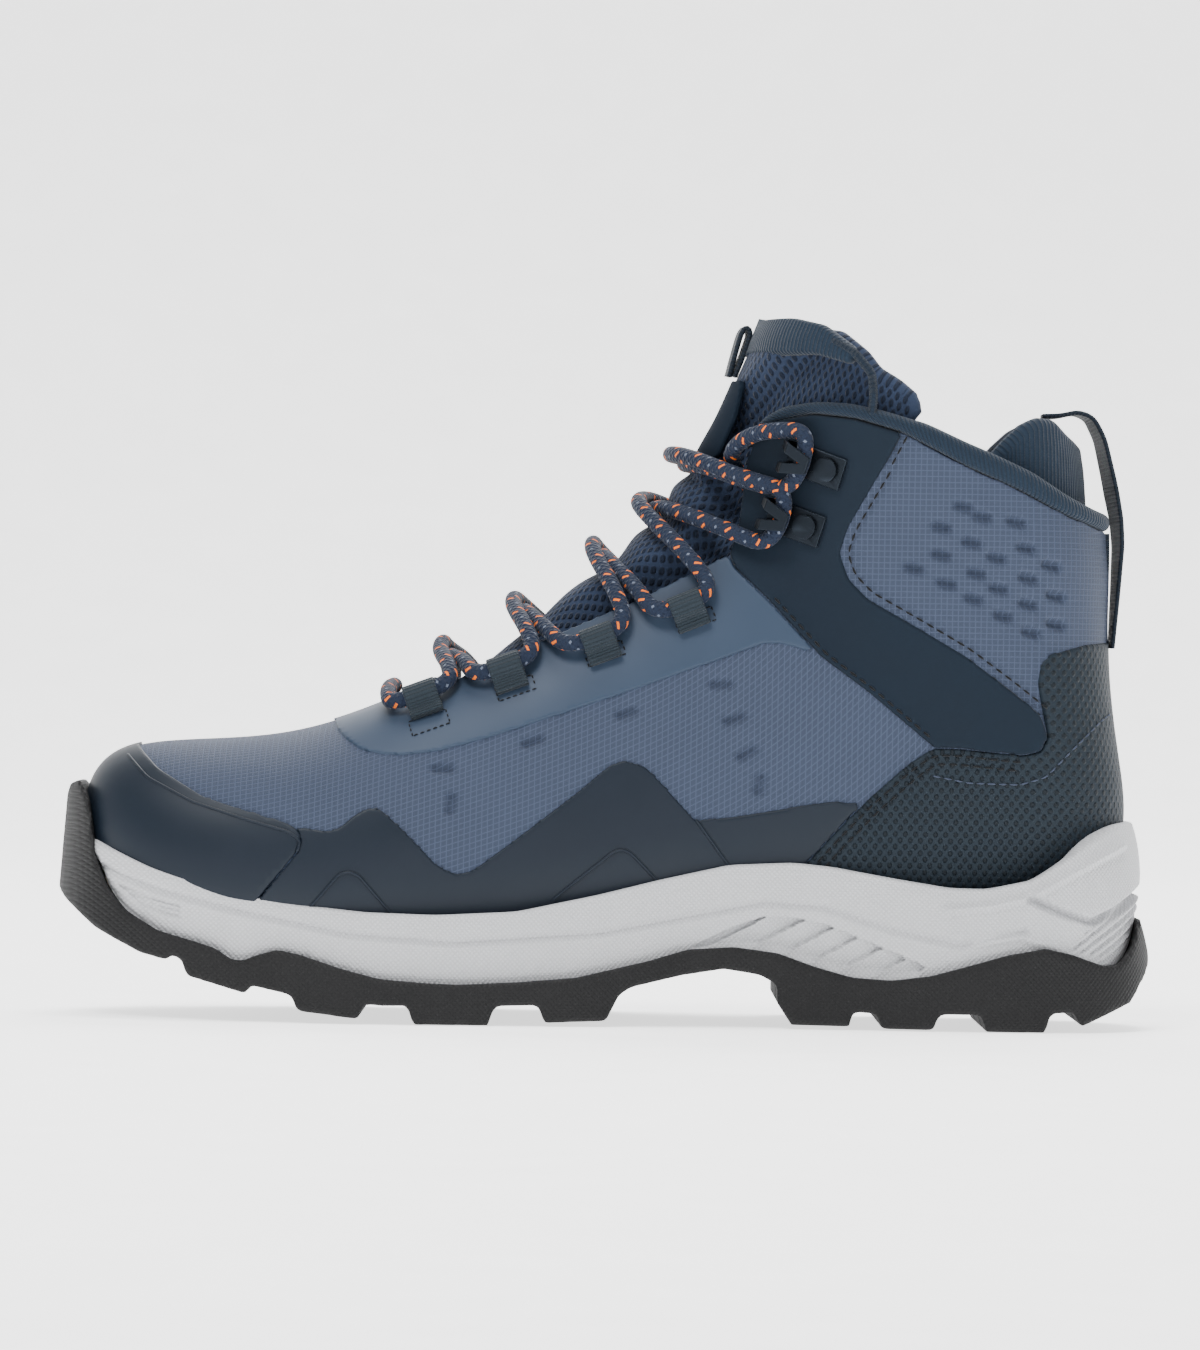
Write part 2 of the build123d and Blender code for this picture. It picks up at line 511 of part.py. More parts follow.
def loop_direction(index):
    """Side-view direction of the row of loops at one loop."""
    places = np.array(graded(LOOPS))
    return unit(places[min(index + 1, len(places) - 1)] - places[max(index - 1, 0)])


def loop_plane(index, side):
    x, z = graded(LOOPS)[index]
    return place_frame(x, z, side, LACE_RADIUS + LACE_GAP + WEBBING + 0.15, loop_direction(index))


def make_loops():
    """Webbing loops round the lace, sewn into the eyestay by a tail."""
    bore = LACE_RADIUS + LACE_GAP
    for name, side in SIDES:
        for index in range(len(LOOPS)):
            roll = Location((0, 0, 0), (0, 90, 0))
            ring = roll * Cylinder(bore + WEBBING, LOOP_WIDTH)
            down = side
            tail = Location((0, down * (bore + LOOP_TAIL) / 2, -bore - WEBBING / 2))
            ring += tail * Box(LOOP_WIDTH, bore + LOOP_TAIL, WEBBING)
            ring -= roll * Cylinder(bore, 2 * LOOP_WIDTH)
            save(f"{name}_lace_loop_{index + 1}", only_solid(loop_plane(index, side) * ring))


def hook_plane(index, side):
    x, z = graded(HOOKS)[index]
    tilt = np.radians(HOOK_TILT)
    return place_frame(x, z, side, HOOK_LIFT, np.array([-np.cos(tilt), np.sin(tilt)]))


def make_hooks():
    """Pressed speed hooks: a plate under the rivet, bent out at the front and back over the lace."""
    room = LACE_DIAMETER + 2 * LACE_GAP
    top = HOOK_PLATE + room
    middle = (2 * HOOK_PLATE + room) / 2
    outer = [(-HOOK_BACK, 0), (HOOK_REACH - 1, 0), (HOOK_REACH + 1.4, middle), (HOOK_REACH - 1, top + HOOK_PLATE),
             (3.5, top + HOOK_PLATE)]
    inner = [(3.5, top), (HOOK_REACH - 1.8, top), (HOOK_REACH + 0.2, middle), (HOOK_REACH - 1.8, HOOK_PLATE),
             (-HOOK_BACK, HOOK_PLATE)]
    face = Face(Wire(Polyline(*[Vector(x, -HOOK_WIDTH / 2, z) for x, z in outer + inner], close=True).edges()))
    blank = Solid.extrude(face, Vector(0, HOOK_WIDTH, 0))
    fork = [(6, 0), (HOOK_REACH + 3, -HOOK_ARM), (HOOK_REACH + 3, HOOK_ARM)]
    notch = Face(Wire(Polyline(*[Vector(x, y, HOOK_PLATE) for x, y in fork], close=True).edges()))
    blank -= Solid.extrude(notch, Vector(0, 0, 20))
    for turn in (-1, 1):
        waist = [(2, turn * 2), (HOOK_REACH - 1, turn * HOOK_WIDTH / 2), (HOOK_REACH - 1, turn * HOOK_WIDTH),
                 (2, turn * HOOK_WIDTH)]
        cut = Face(Wire(Polyline(*[Vector(x, y, HOOK_PLATE + room / 2) for x, y in waist], close=True).edges()))
        blank -= Solid.extrude(cut, Vector(0, 0, 20))
    shank_radius = 1.5
    blank -= Cylinder(shank_radius, 4 * HOOK_PLATE)
    head = Location((0, 0, HOOK_PLATE + RIVET_HEAD / 2)) * Cylinder(RIVET_RADIUS, RIVET_HEAD)
    rivet = head + Location((0, 0, HOOK_PLATE / 2)) * Cylinder(shank_radius, HOOK_PLATE)
    rivets = []
    for name, side in SIDES:
        for index in range(len(HOOKS)):
            plane = hook_plane(index, side)
            save(f"{name}_hook_{index + 1}", only_solid(plane * blank))
            rivets.append(only_solid(plane * rivet))
    save("hook_rivets", *rivets)


def hook_pass(index, side):
    """The lace's way under one hook, from below it to above it."""
    plane = hook_plane(index, side)
    height = HOOK_PLATE + LACE_GAP + LACE_RADIUS
    reach = HOOK_WIDTH / 2 + LACE_BEND
    return [to_world(plane, (HOOK_REACH - 5.6, turn * side * reach, height)) for turn in (-1, 1)]


def loop_pass(index, side):
    """The lace's way through one loop, from its front to its rear."""
    plane = loop_plane(index, side)
    return [to_world(plane, (turn * (LOOP_WIDTH / 2 + LACE_BEND), 0, 0)) for turn in (-1, 1)]


def to_world(plane, place):
    return np.array(tuple(plane.from_local_coords(Vector(*place))))


def crossing(index, over):
    """Where a strand lies at a crossing on the middle of the tongue, beneath or over the other strand."""
    ring, _ = find(*graded(CROSSINGS)[index], 1)
    lift = LACE_RADIUS + 0.3 + (LACE_DIAMETER + LACE_GAP if over else 0)
    return surface(ring, 0.0) + lift * normal(ring, 0.0), lift


def nearest_place(spot):
    """The ring and the place around it nearest to a spot near the instep."""
    rings, arounds = np.meshgrid(np.linspace(4, 18, 141), np.linspace(-0.5, 0.5, 101), indexing="ij")
    away = np.linalg.norm(surface(rings, arounds) - spot, axis=-1)
    i, j = np.unravel_index(np.argmin(away), away.shape)
    return rings[i, j], arounds[i, j]


def strand(start, end, index, over):
    """Places along a strand from one pass to the next one, over the middle of the tongue."""
    middle, high = crossing(index, over)
    resting = LACE_RADIUS + LACE_GAP + WEBBING + 0.15
    places = []
    for a, b, share in ((start, middle, 0.3), (start, middle, 0.7), (middle, middle, 1.0), (end, middle, 0.7),
                        (end, middle, 0.3)):
        ring, around = nearest_place(a * (1 - share) + b * share)
        lift = resting + (high - resting) * share**1.5
        places.append(surface(ring, around) + lift * normal(ring, around))
    places[2] = middle
    return places


def lace_route():
    """Corner places of the lace from one tucked end to the other."""
    down = [("hook", 1), ("hook", 0), ("loop", 3), ("loop", 2), ("loop", 1), ("loop", 0)]
    stops = [(kind, index, -1 if turn % 2 == 0 else 1, -1) for turn, (kind, index) in enumerate(down)]
    stops += [(kind, index, -side, 1) for kind, index, side, _ in reversed(stops)]
    route = [on_last(x, z, -1, lift)[0] for x, z, lift in graded_lifts(TUCK)][::-1]
    for place, (kind, index, side, heading) in enumerate(stops):
        way = (hook_pass if kind == "hook" else loop_pass)(index, side)[::heading]
        if place:
            upper = side if heading > 0 else stops[place - 1][2]
            cross = 0 if place == 6 else 6 - place if place < 6 else place - 6
            route += strand(route[-1], way[0], cross, cross > 0 and upper > 0)
        route += way
    return route + [on_last(x, z, 1, lift)[0] for x, z, lift in graded_lifts(TUCK)]


def graded_lifts(rows):
    return [(x * LENGTH_GRADE, z * HEIGHT_GRADE, lift) for x, z, lift in rows]


def rounded_wire(places, radius):
    """Straight runs through places, joined by arcs."""
    edges, start = [], places[0]
    for before, corner, after in zip(places, places[1:], places[2:]):
        a, b = unit(before - corner), unit(after - corner)
        half = np.arccos(np.clip(a @ b, -1, 1)) / 2
        if half > 1.55:
            continue
        room = 0.45 * min(np.linalg.norm(before - corner), np.linalg.norm(after - corner))
        reach = min(radius / np.tan(half), room)
        inward = unit(a + b)
        centre = corner + inward * reach / np.cos(half)
        first, last = corner + a * reach, corner + b * reach
        edges.append(Edge.make_line(Vector(*start), Vector(*first)))
        middle = centre - inward * reach * np.tan(half)
        edges.append(Edge.make_three_point_arc(Vector(*first), Vector(*middle), Vector(*last)))
        start = last
    edges.append(Edge.make_line(Vector(*start), Vector(*places[-1])))
    return Wire(edges)


def tube(wire, radius):
    return sweep(Plane(origin=wire @ 0, z_dir=wire % 0) * Circle(radius), path=wire).solid()


def make_lace():
    wire = rounded_wire(lace_route(), LACE_BEND)
    print(f"lace length {wire.length:.0f} mm")
    save("lace", tube(wire, LACE_RADIUS))


def main():
    os.makedirs("parts", exist_ok=True)
    vamp, rear = upper_outlines()
    make_fabric(vamp, rear)
    make_padding(vamp, rear)
    make_lining(vamp, rear)
    make_overlays()
    make_collar()
    make_tongue()
    make_sole()
    make_footbed()
    make_loops()
    make_hooks()
    make_lace()


if __name__ == "__main__":
    main()
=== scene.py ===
"""Mid-height hiking boot for the right foot: the visible upper, sole, tongue, lace and hardware."""

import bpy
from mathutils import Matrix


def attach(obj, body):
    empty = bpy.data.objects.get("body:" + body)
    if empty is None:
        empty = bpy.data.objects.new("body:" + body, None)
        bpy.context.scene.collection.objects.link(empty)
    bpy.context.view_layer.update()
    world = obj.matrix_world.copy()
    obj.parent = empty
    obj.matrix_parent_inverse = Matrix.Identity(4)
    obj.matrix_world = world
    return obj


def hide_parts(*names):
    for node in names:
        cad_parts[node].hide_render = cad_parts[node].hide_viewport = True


bl_info = {
    "name": "Hiking Boot",
    "version": (1, 0, 0),
    "blender": (4, 5, 0),
    "location": "View3D > Sidebar > Boot",
    "description": "Builds a lasted hiking boot around its packed frame",
    "category": "Add Mesh",
}

import bpy
import numpy as np
from mathutils import Euler, Vector

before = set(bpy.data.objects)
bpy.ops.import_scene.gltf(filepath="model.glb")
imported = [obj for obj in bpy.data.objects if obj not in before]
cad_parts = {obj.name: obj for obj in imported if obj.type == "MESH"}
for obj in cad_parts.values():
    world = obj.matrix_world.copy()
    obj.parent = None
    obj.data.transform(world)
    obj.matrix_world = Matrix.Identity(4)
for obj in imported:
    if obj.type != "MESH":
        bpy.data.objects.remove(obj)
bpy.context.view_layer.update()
MM = 0.001

# ------------------------------------------------------------------ the last, in millimetres

LAST = [
    (-145.6, 61.0, -144.2, 44.5, 8.0, 0.60, 0.90, -9.0),
    (-143.5, 66.8, -142.2, 40.0, 15.5, 0.62, 0.90, -9.0),
    (-138.5, 72.6, -137.5, 35.5, 24.0, 0.66, 0.90, -8.5),
    (-128.5, 76.4, -128.0, 31.0, 33.5, 0.70, 0.92, -7.5),
    (-111.0, 78.0, -112.0, 27.5, 42.0, 0.74, 0.93, -6.0),
    (-85.0, 81.2, -88.0, 25.0, 47.5, 0.76, 0.94, -4.0),
    (-57.0, 91.5, -62.0, 24.0, 48.5, 0.76, 0.94, -2.0),
    (-36.0, 103.5, -34.0, 24.5, 46.0, 0.76, 0.92, -0.5),
    (-15.0, 117.5, -3.0, 26.5, 42.0, 0.75, 0.88, 0.0),
    (2.0, 130.5, 32.0, 29.5, 38.5, 0.72, 0.86, 0.0),
    (13.0, 141.5, 68.0, 32.0, 36.5, 0.68, 0.84, 0.0),
    (19.0, 150.5, 104.0, 33.5, 36.0, 0.65, 0.78, 0.0),
    (23.5, 157.5, 134.0, 38.0, 36.5, 0.62, 0.52, 0.0),
    (26.5, 163.0, 146.0, 56.0, 37.5, 0.58, 0.20, 0.0),
    (29.5, 168.5, 144.5, 78.0, 38.5, 0.56, 0.14, 0.0),
    (32.5, 175.0, 141.6, 102.0, 39.5, 0.54, 0.14, 0.0),
    (35.5, 182.0, 141.4, 126.0, 41.5, 0.52, 0.14, 0.0),
    (39.0, 190.0, 140.8, 150.0, 43.0, 0.50, 0.14, 0.0),
    (44.0, 203.0, 138.0, 177.0, 43.5, 0.50, 0.14, 0.0),
]
ROUND_TOP, ROUND_BACK = 2.25, 2.2
LAST_RING = len(LAST) - 1
RING_COLUMNS, GIRTH_STEPS = 72, 120  # steps along the last and round it in the table of girths
HEEL_TURN, HEEL_RADIUS = 118.0, 26.0  # where the shaft starts to turn round the heel, and how tightly

# How far below the outer face of the upper each layer of it starts
OVERLAY_BASE, FABRIC_BASE, LINING_BASE, PAD_SPLIT, TONGUE_SPLIT = -1.6, -2.6, -3.4, -9.6, -10.6
SIDES = (("medial", -1), ("lateral", 1))


def distances(line):
    """How far along a line each of its points lies."""
    return np.concatenate([[0], np.cumsum(np.linalg.norm(np.diff(line, axis=0), axis=1))])


def resampled(line, far, at):
    """Points of a line at given distances along it."""
    return np.stack([np.interp(at, far, line[:, k]) for k in range(line.shape[1])], 1)


def natural_cubic(rows):
    """A smooth curve through rows of numbers, as a function of the row's index."""
    rows = np.asarray(rows, float)
    count = len(rows)
    system, right = np.eye(count), np.zeros_like(rows)
    for i in range(1, count - 1):
        system[i, i - 1 : i + 2] = (1, 4, 1)
        right[i] = 6 * (rows[i + 1] - 2 * rows[i] + rows[i - 1])
    bend = np.linalg.solve(system, right)

    def at(t):
        t = np.asarray(t, float)
        i = np.clip(t.astype(int), 0, count - 2)
        u = (t - i)[..., None]
        curve = ((1 - u) ** 3 * bend[i] + u**3 * bend[i + 1]) / 6
        return curve + (rows[i] - bend[i] / 6) * (1 - u) + (rows[i + 1] - bend[i + 1] / 6) * u

    return at


ring_at = natural_cubic(LAST)


def surface(ring, around):
    """Points of the last. around is 0 on the instep, -1 or 1 at the sole or back, and may run on past it."""
    ring, around = np.asarray(ring, float), np.asarray(around, float)
    around = np.where(around > 1, around - 2, around)
    tx, tz, bx, bz, half, widest, left, middle = np.moveaxis(ring_at(ring), -1, 0)
    down = (1 - np.cos(np.pi * np.abs(around))) / 2
    above = (1 - np.clip((widest - down) / widest, 0, 1) ** ROUND_TOP) ** (1 / ROUND_TOP)
    below = np.clip((down - widest) / (1 - widest), 0, 1) ** ROUND_BACK
    below = (1 - (1 - left**ROUND_BACK) * below) ** (1 / ROUND_BACK)
    share = np.where(down < widest, above, below)
    wide = middle + np.sign(around) * half * share
    return np.stack([tx + (bx - tx) * down, wide, tz + (bz - tz) * down], -1)


def unit(rows):
    return rows / np.maximum(np.linalg.norm(rows, axis=-1, keepdims=True), 1e-9)


def normal(ring, around, step=2e-3):
    """Outward direction of the last's surface."""
    ring, around = np.asarray(ring, float), np.asarray(around, float)
    along = surface(np.minimum(ring + step, LAST_RING), around) - surface(np.maximum(ring - step, 0), around)
    across = surface(ring, around + step) - surface(ring, around - step)
    return unit(np.cross(along, across))


def find(x, z, side):
    """The ring, the place around it and how far down it is, of side-view points."""
    x, z = np.asarray(x, float), np.asarray(z, float)
    low, high = np.zeros_like(x), np.full_like(x, LAST_RING)
    for _ in range(30):
        middle = (low + high) / 2
        tx, tz, bx, bz = np.moveaxis(ring_at(middle)[..., :4], -1, 0)
        ahead = (bx - tx) * (z - tz) - (bz - tz) * (x - tx) > 0
        low, high = np.where(ahead, middle, low), np.where(ahead, high, middle)
    tx, tz, bx, bz = np.moveaxis(ring_at(low)[..., :4], -1, 0)
    down = ((x - tx) * (bx - tx) + (z - tz) * (bz - tz)) / ((bx - tx) ** 2 + (bz - tz) ** 2)
    return low, side * np.arccos(np.clip(1 - 2 * down, -1, 1)) / np.pi, down


def on_last(x, z, side, lift=0.0):
    """A point at a side-view place of the upper, lifted off it, and the outward direction there."""
    ring, around, _ = find(x, z, side)
    out = normal(ring, around)
    return surface(ring, around) + np.asarray(lift)[..., None] * out, out


# ------------------------------------------------------------------ outlines in side view, in millimetres

THROAT = [(-61, 104), (-61, 90), (-41.5, 95.5), (-17.5, 107), (8.5, 118.5), (20, 124.5), (33.7, 131.6),
          (36, 139), (37, 147), (38, 156), (41, 166.5)]
COLLAR = [(44, 168.8), (56, 170.7), (68, 169.3), (81, 165.5), (99, 156.5), (114, 150.5), (128.5, 143.7),
          (155, 135)]
COLLAR_EDGE = [(38.3, 161), (39.6, 166.8), (42.2, 170.3), (47, 173), (56, 174.1), (65.5, 173.5), (75, 171.6),
               (87.7, 168.2), (99, 163.3), (109, 159.5), (118.7, 155.4), (128.4, 149.6), (136.4, 146),
               (155, 141)]
EYESTAY_LOW = [(-76, 95), (-76, 82.5), (-73, 79), (-68, 75.6), (-62, 74.3), (-56, 74.1), (-46, 75.4),
               (-30, 80), (10, 94), (43.5, 106.6), (48.2, 106.7), (53, 105.6), (60, 102.9)]
STRAP_FRONT = [(33.7, 131.6), (35.2, 128), (45.5, 118.2), (60, 102.9), (73, 93.5), (91.5, 78.3)]
STRAP_REAR = [(98, 78.3), (105, 77.7), (116.4, 76.7), (121.7, 78), (123.6, 82), (121.5, 88), (113.5, 94.2),
              (100, 104), (86, 112), (72.4, 119.5), (67, 125), (64.5, 132), (66.7, 139.2), (77, 157.5),
              (81, 165.5)]
HEEL_TOP = [(56, 44.9), (63.6, 53.5), (74, 64.4), (84.7, 74), (89, 77), (91.5, 78.3), (98, 78.3),
            (105, 77.7), (116.4, 76.7), (121.7, 78), (123.6, 82), (122, 90), (120.3, 97), (121, 102.5),
            (124, 105.1), (134, 108), (160, 111)]
CAP_LINE = [(-134.3, 95), (-133.6, 72.8), (-127, 66.4), (-114, 60), (-99, 55.5), (-87, 52.3), (-83.5, 49.9),
            (-84.5, 46.7), (-95, 33.5), (-98, 29)]
RAND_TOP = [(-131.2, 95), (-131.2, 76.2), (-124, 69.3), (-111, 61.8), (-94.3, 56.7), (-83.5, 53.8),
            (-76, 52.8), (-72.8, 54), (-68.6, 57.7), (-65, 59.5), (-61.8, 59.3), (-56.4, 54.6), (-50, 48.2),
            (-45.4, 43.4), (-40, 41.3), (-35.8, 42.5), (-24, 51.4), (-8, 64), (0.5, 71.4), (5, 73.7),
            (11.2, 72.1), (14.7, 68.8), (25.6, 57.1), (36.3, 58.4), (63.4, 63.1), (72, 62.4)]
HEEL_PAD_LINE = [(112, 128), (106, 158), (113, 164.5), (119, 169), (124.5, 171.3), (130, 171.4),
                 (134.5, 168), (150, 160), (150, 128)]
HEEL_STRAP = [(122, 172.2), (127, 172.4), (131.4, 173.6), (135.5, 172), (138.6, 166), (141.3, 154.6),
              (143.6, 143.4), (144.2, 136), (143.6, 123), (142.7, 107)]
FOOT_LINE = [(-170, 46.5), (-143, 46), (-138, 43.8), (-125, 38.8), (-105, 33), (-85, 29.3), (-62, 27.3),
             (-34, 27), (32, 31), (68, 33.5), (104, 35), (134, 40), (150, 46), (170, 46)]
LOOPS = [(-50.2, 88.0), (-27.1, 96.6), (-1.8, 105.8), (22.6, 115.9)]
CROSSINGS = [(-58.1, 91.9), (-42.2, 102.9), (-22.6, 116.5), (-0.3, 131.6), (13.1, 144), (21.4, 156.9)]
QUARTER_DENTS = [(-44.8, 70.9, 0), (-42.1, 61, 80), (-20, 78.7, 20), (5.9, 87, 18), (32, 95.4, 0),
                 (35.9, 85.8, 20), (39.7, 76.3, 30), (43.3, 67.6, 80)]
COLLAR_DENTS = [(98.5, 145.4), (92.4, 139.7), (103.7, 142.7), (100.9, 135.6), (92.5, 132), (84.9, 128.2),
                (113.6, 141.5), (116.5, 134.4), (108.1, 131.5), (102.5, 127.1), (94.1, 124.1),
                (123.7, 129.7), (117.2, 126), (108.8, 123), (101.8, 120), (125.2, 121.3), (117.3, 118.9),
                (110.3, 115.4), (125.4, 113.4), (118.3, 111)]

# The lace's corner places from one tucked end to the other
LACE_ROUTE = [
    (53.0, -19.3, 142.0), (40.8, -12.2, 149.9), (36.1, -15.7, 154.0), (33.2, -19.8, 159.8),
    (38.7, -26.5, 164.9), (47.7, -33.8, 166.4), (55.8, -38.6, 165.3), (51.1, -35.3, 148.8),
    (40.1, -28.9, 151.3), (24.7, -14.2, 157.0), (20.2, -0.0, 157.2), (24.7, 14.2, 157.0),
    (38.8, 28.0, 152.4), (50.5, 35.3, 149.4), (45.5, 32.6, 133.0), (32.7, 28.5, 138.6), (13.4, 13.6, 147.1),
    (7.8, 0.0, 147.2), (9.6, -12.1, 143.4), (22.5, -28.0, 130.9), (30.4, -32.6, 120.6), (13.7, -32.4, 113.7),
    (8.0, -26.9, 121.8), (-0.8, -11.1, 130.0), (-1.3, 0.0, 131.1), (-2.3, 11.1, 128.8), (2.7, 26.3, 119.8),
    (6.0, 32.5, 110.8), (-10.8, 32.9, 104.3), (-17.8, 25.2, 111.4), (-24.3, 11.0, 117.1),
    (-26.5, -0.1, 118.8), (-26.5, -9.8, 116.0), (-22.2, -24.5, 109.7), (-19.6, -32.1, 102.2),
    (-36.5, -31.8, 96.0), (-39.4, -23.5, 100.3), (-43.6, -10.6, 101.7), (-43.6, -0.9, 101.8),
    (-43.6, 8.9, 101.7), (-43.7, 21.0, 98.5), (-43.4, 29.0, 94.1), (-60.0, 25.9, 87.9), (-61.2, 17.6, 90.8),
    (-60.8, 6.3, 92.7), (-59.3, -2.1, 93.3), (-60.8, -10.7, 92.7), (-61.0, -22.0, 90.8),
    (-59.8, -30.1, 87.9), (-43.0, -30.7, 94.2), (-43.9, -23.1, 99.3), (-47.0, -9.6, 103.3),
    (-46.2, -0.9, 106.1), (-45.1, 9.3, 104.2), (-40.0, 22.6, 100.9), (-36.6, 30.9, 96.0),
    (-19.8, 32.1, 102.2), (-21.8, 25.0, 108.3), (-24.9, 10.4, 113.3), (-23.7, -0.1, 114.7),
    (-22.7, -10.5, 114.7), (-17.2, -25.8, 110.0), (-10.8, -32.8, 104.3), (6.0, -32.4, 110.8),
    (2.0, -26.0, 121.3), (-4.2, -10.7, 131.4), (-4.5, 0.0, 135.0), (-2.7, 10.7, 132.6), (7.3, 26.7, 123.4),
    (13.7, 32.4, 113.7), (30.4, 32.6, 120.6), (23.5, 28.0, 129.3), (13.1, 13.3, 141.6), (11.8, 0.0, 144.2),
    (16.4, -14.5, 144.5), (32.9, -27.7, 138.4), (45.5, -32.6, 133.0), (50.5, -35.3, 149.4),
    (38.4, -28.7, 152.4), (21.3, -13.2, 159.3), (16.0, -0.0, 159.9), (21.3, 13.2, 159.3),
    (38.4, 28.7, 152.4), (51.1, 35.3, 148.8), (55.8, 38.6, 165.3), (47.7, 33.8, 166.4), (38.7, 26.5, 164.9),
    (33.2, 19.8, 159.8), (36.1, 15.7, 154.0), (40.8, 12.2, 149.9), (53.0, 19.3, 142.0),
]


def rounded(points, radius=1.6, closed=True, step=0.5):
    """An outline drawn through points with its corners softened, resampled at one step."""
    line = np.array(points, float)
    if closed:
        line = np.vstack([line, line[:1]])
    far = distances(line)
    dense = resampled(line, far, np.linspace(0, far[-1], max(int(far[-1] / step), 8) + 1))
    width = max(int(radius / step), 1)
    kernel = np.hanning(2 * width + 3)[1:-1]
    kernel /= kernel.sum()
    if closed:
        dense = dense[:-1]
        padded = np.vstack([dense[-width:], dense, dense[:width]])
    else:
        ends = (2 * dense[0] - dense[width:0:-1], 2 * dense[-1] - dense[-2 : -width - 2 : -1])
        padded = np.vstack([ends[0], dense, ends[1]])
    return np.stack([np.convolve(padded[:, k], kernel, "valid") for k in range(line.shape[1])], 1)


def inside(points, outline):
    """Which side-view points lie inside a closed outline."""
    x, z = points[..., 0], points[..., 1]
    result = np.zeros(x.shape, bool)
    for (x0, z0), (x1, z1) in zip(outline, np.roll(outline, -1, 0)):
        if z0 != z1:
            crosses = (z0 > z) != (z1 > z)
            result ^= crosses & (x < (x1 - x0) * (z - z0) / (z1 - z0) + x0)
    return result


def nearest(points, targets):
    """For each point the index of the closest target, found in blocks."""
    result = np.zeros(len(points), int)
    squares = (targets**2).sum(1)
    for start in range(0, len(points), 4000):
        block = points[start : start + 4000]
        result[start : start + 4000] = np.argmin(squares - 2 * block @ targets.T, axis=1)
    return result


# ------------------------------------------------------------------ meshes

def make_mesh(name, verts, faces, uv=None, scale=MM):
    """A new smooth object from points in millimetres, with its weave coordinates if it has any."""
    mesh = bpy.data.meshes.new(name)
    mesh.from_pydata((np.asarray(verts, float) * scale).tolist(), [], [list(map(int, f)) for f in faces])
    if uv is not None:
        layer = mesh.uv_layers.new(name="weave")
        corner = np.zeros(len(mesh.loops), int)
        mesh.loops.foreach_get("vertex_index", corner)
        layer.data.foreach_set("uv", np.asarray(uv, float)[corner].ravel())
    mesh.validate()
    mesh.polygons.foreach_set("use_smooth", [True] * len(mesh.polygons))
    piece = bpy.data.objects.new(name, mesh)
    bpy.context.scene.collection.objects.link(piece)
    return piece


def finish_piece(piece, material, body, replaces=()):
    piece.data.materials.clear()
    piece.data.materials.append(material)
    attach(piece, body)
    if replaces:
        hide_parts(*replaces)
    return piece


def edge_targets(outline, sides):
    """The outline's places on the last in space, in order, with a gap wherever it leaves the last."""
    runs = []
    ring, around, down = find(outline[:, 0], outline[:, 1], 1)
    on = (down > 0.0005) & (down < 0.9995) & (ring > 0.01) & (ring < LAST_RING - 0.01)
    for side in sides:
        spots = surface(ring, side * around)
        spots[~on] = np.nan
        runs.append(np.vstack([spots, spots[:1]]))
    return runs


def edge_distance(points, runs):
    """Distance from points to the edge runs and the closest places on them."""
    starts = np.vstack([run[:-1] for run in runs])
    ends = np.vstack([run[1:] for run in runs])
    good = ~(np.isnan(starts).any(1) | np.isnan(ends).any(1))
    starts, ends = starts[good], ends[good]
    keep = np.linalg.norm(ends - starts, axis=1) < 6
    starts, ends = starts[keep], ends[keep]
    if not len(starts):
        return np.full(len(points), 1e3), points.copy()
    first = nearest(points, (starts + ends) / 2)
    best, place = np.full(len(points), 1e9), points.copy()
    for shift in (-1, 0, 1):
        index = np.clip(first + shift, 0, len(starts) - 1)
        a, b = starts[index], ends[index]
        run = b - a
        share = np.clip(((points - a) * run).sum(1) / np.maximum((run**2).sum(1), 1e-12), 0, 1)
        spot = a + run * share[:, None]
        away = np.linalg.norm(points - spot, axis=1)
        closer = away < best
        best[closer], place[closer] = away[closer], spot[closer]
    return best, place


def weave_coordinates(style, ring, around, spots):
    """Weave coordinates in metres: flat from the side, round the shaft at one height, or along the foot."""
    if style == "side":
        return spots[..., (0, 2)] * MM
    if style in ("foot", "tongue"):
        fine = np.linspace(0, 1, GIRTH_STEPS + 1)
        rings = np.linspace(0, LAST_RING, RING_COLUMNS + 1)
        table = surface(rings[:, None], fine[None, :])
        girth = np.concatenate([np.zeros((len(rings), 1)),
                                np.cumsum(np.linalg.norm(np.diff(table, axis=1), axis=2), axis=1)], 1)
        row = np.clip(ring / LAST_RING * RING_COLUMNS, 0, RING_COLUMNS - 0.001)
        low, part = row.astype(int), row - row.astype(int)
        share = np.clip(np.abs(np.where(around > 1, around - 2, around)), 0, 1) * GIRTH_STEPS
        col = np.clip(share.astype(int), 0, GIRTH_STEPS - 1)
        step = share - col
        low_girth, high_girth = (girth[i, col] * (1 - step) + girth[i, col + 1] * step
                                 for i in (low, np.minimum(low + 1, RING_COLUMNS)))
        long = low_girth * (1 - part) + high_girth * part
        if style == "tongue":
            crest = surface(rings, np.zeros(len(rings)))
            run = distances(crest)
            return np.stack([np.sign(around) * long, np.interp(ring, rings, run)], -1) * MM
        return np.stack([spots[..., 0], np.sign(around) * long], -1) * MM
    angle = np.arctan2(np.abs(spots[..., 1]), np.maximum(spots[..., 0] - HEEL_TURN, 1e-6))
    run = np.where(spots[..., 0] > HEEL_TURN, HEEL_TURN + HEEL_RADIUS * (np.pi / 2 - angle), spots[..., 0])
    back = HEEL_TURN + HEEL_RADIUS * np.pi / 2
    return np.stack([np.where(spots[..., 1] > 0, 2 * back - run, run), spots[..., 2]], -1) * MM


SKIN_SINK = 0.4


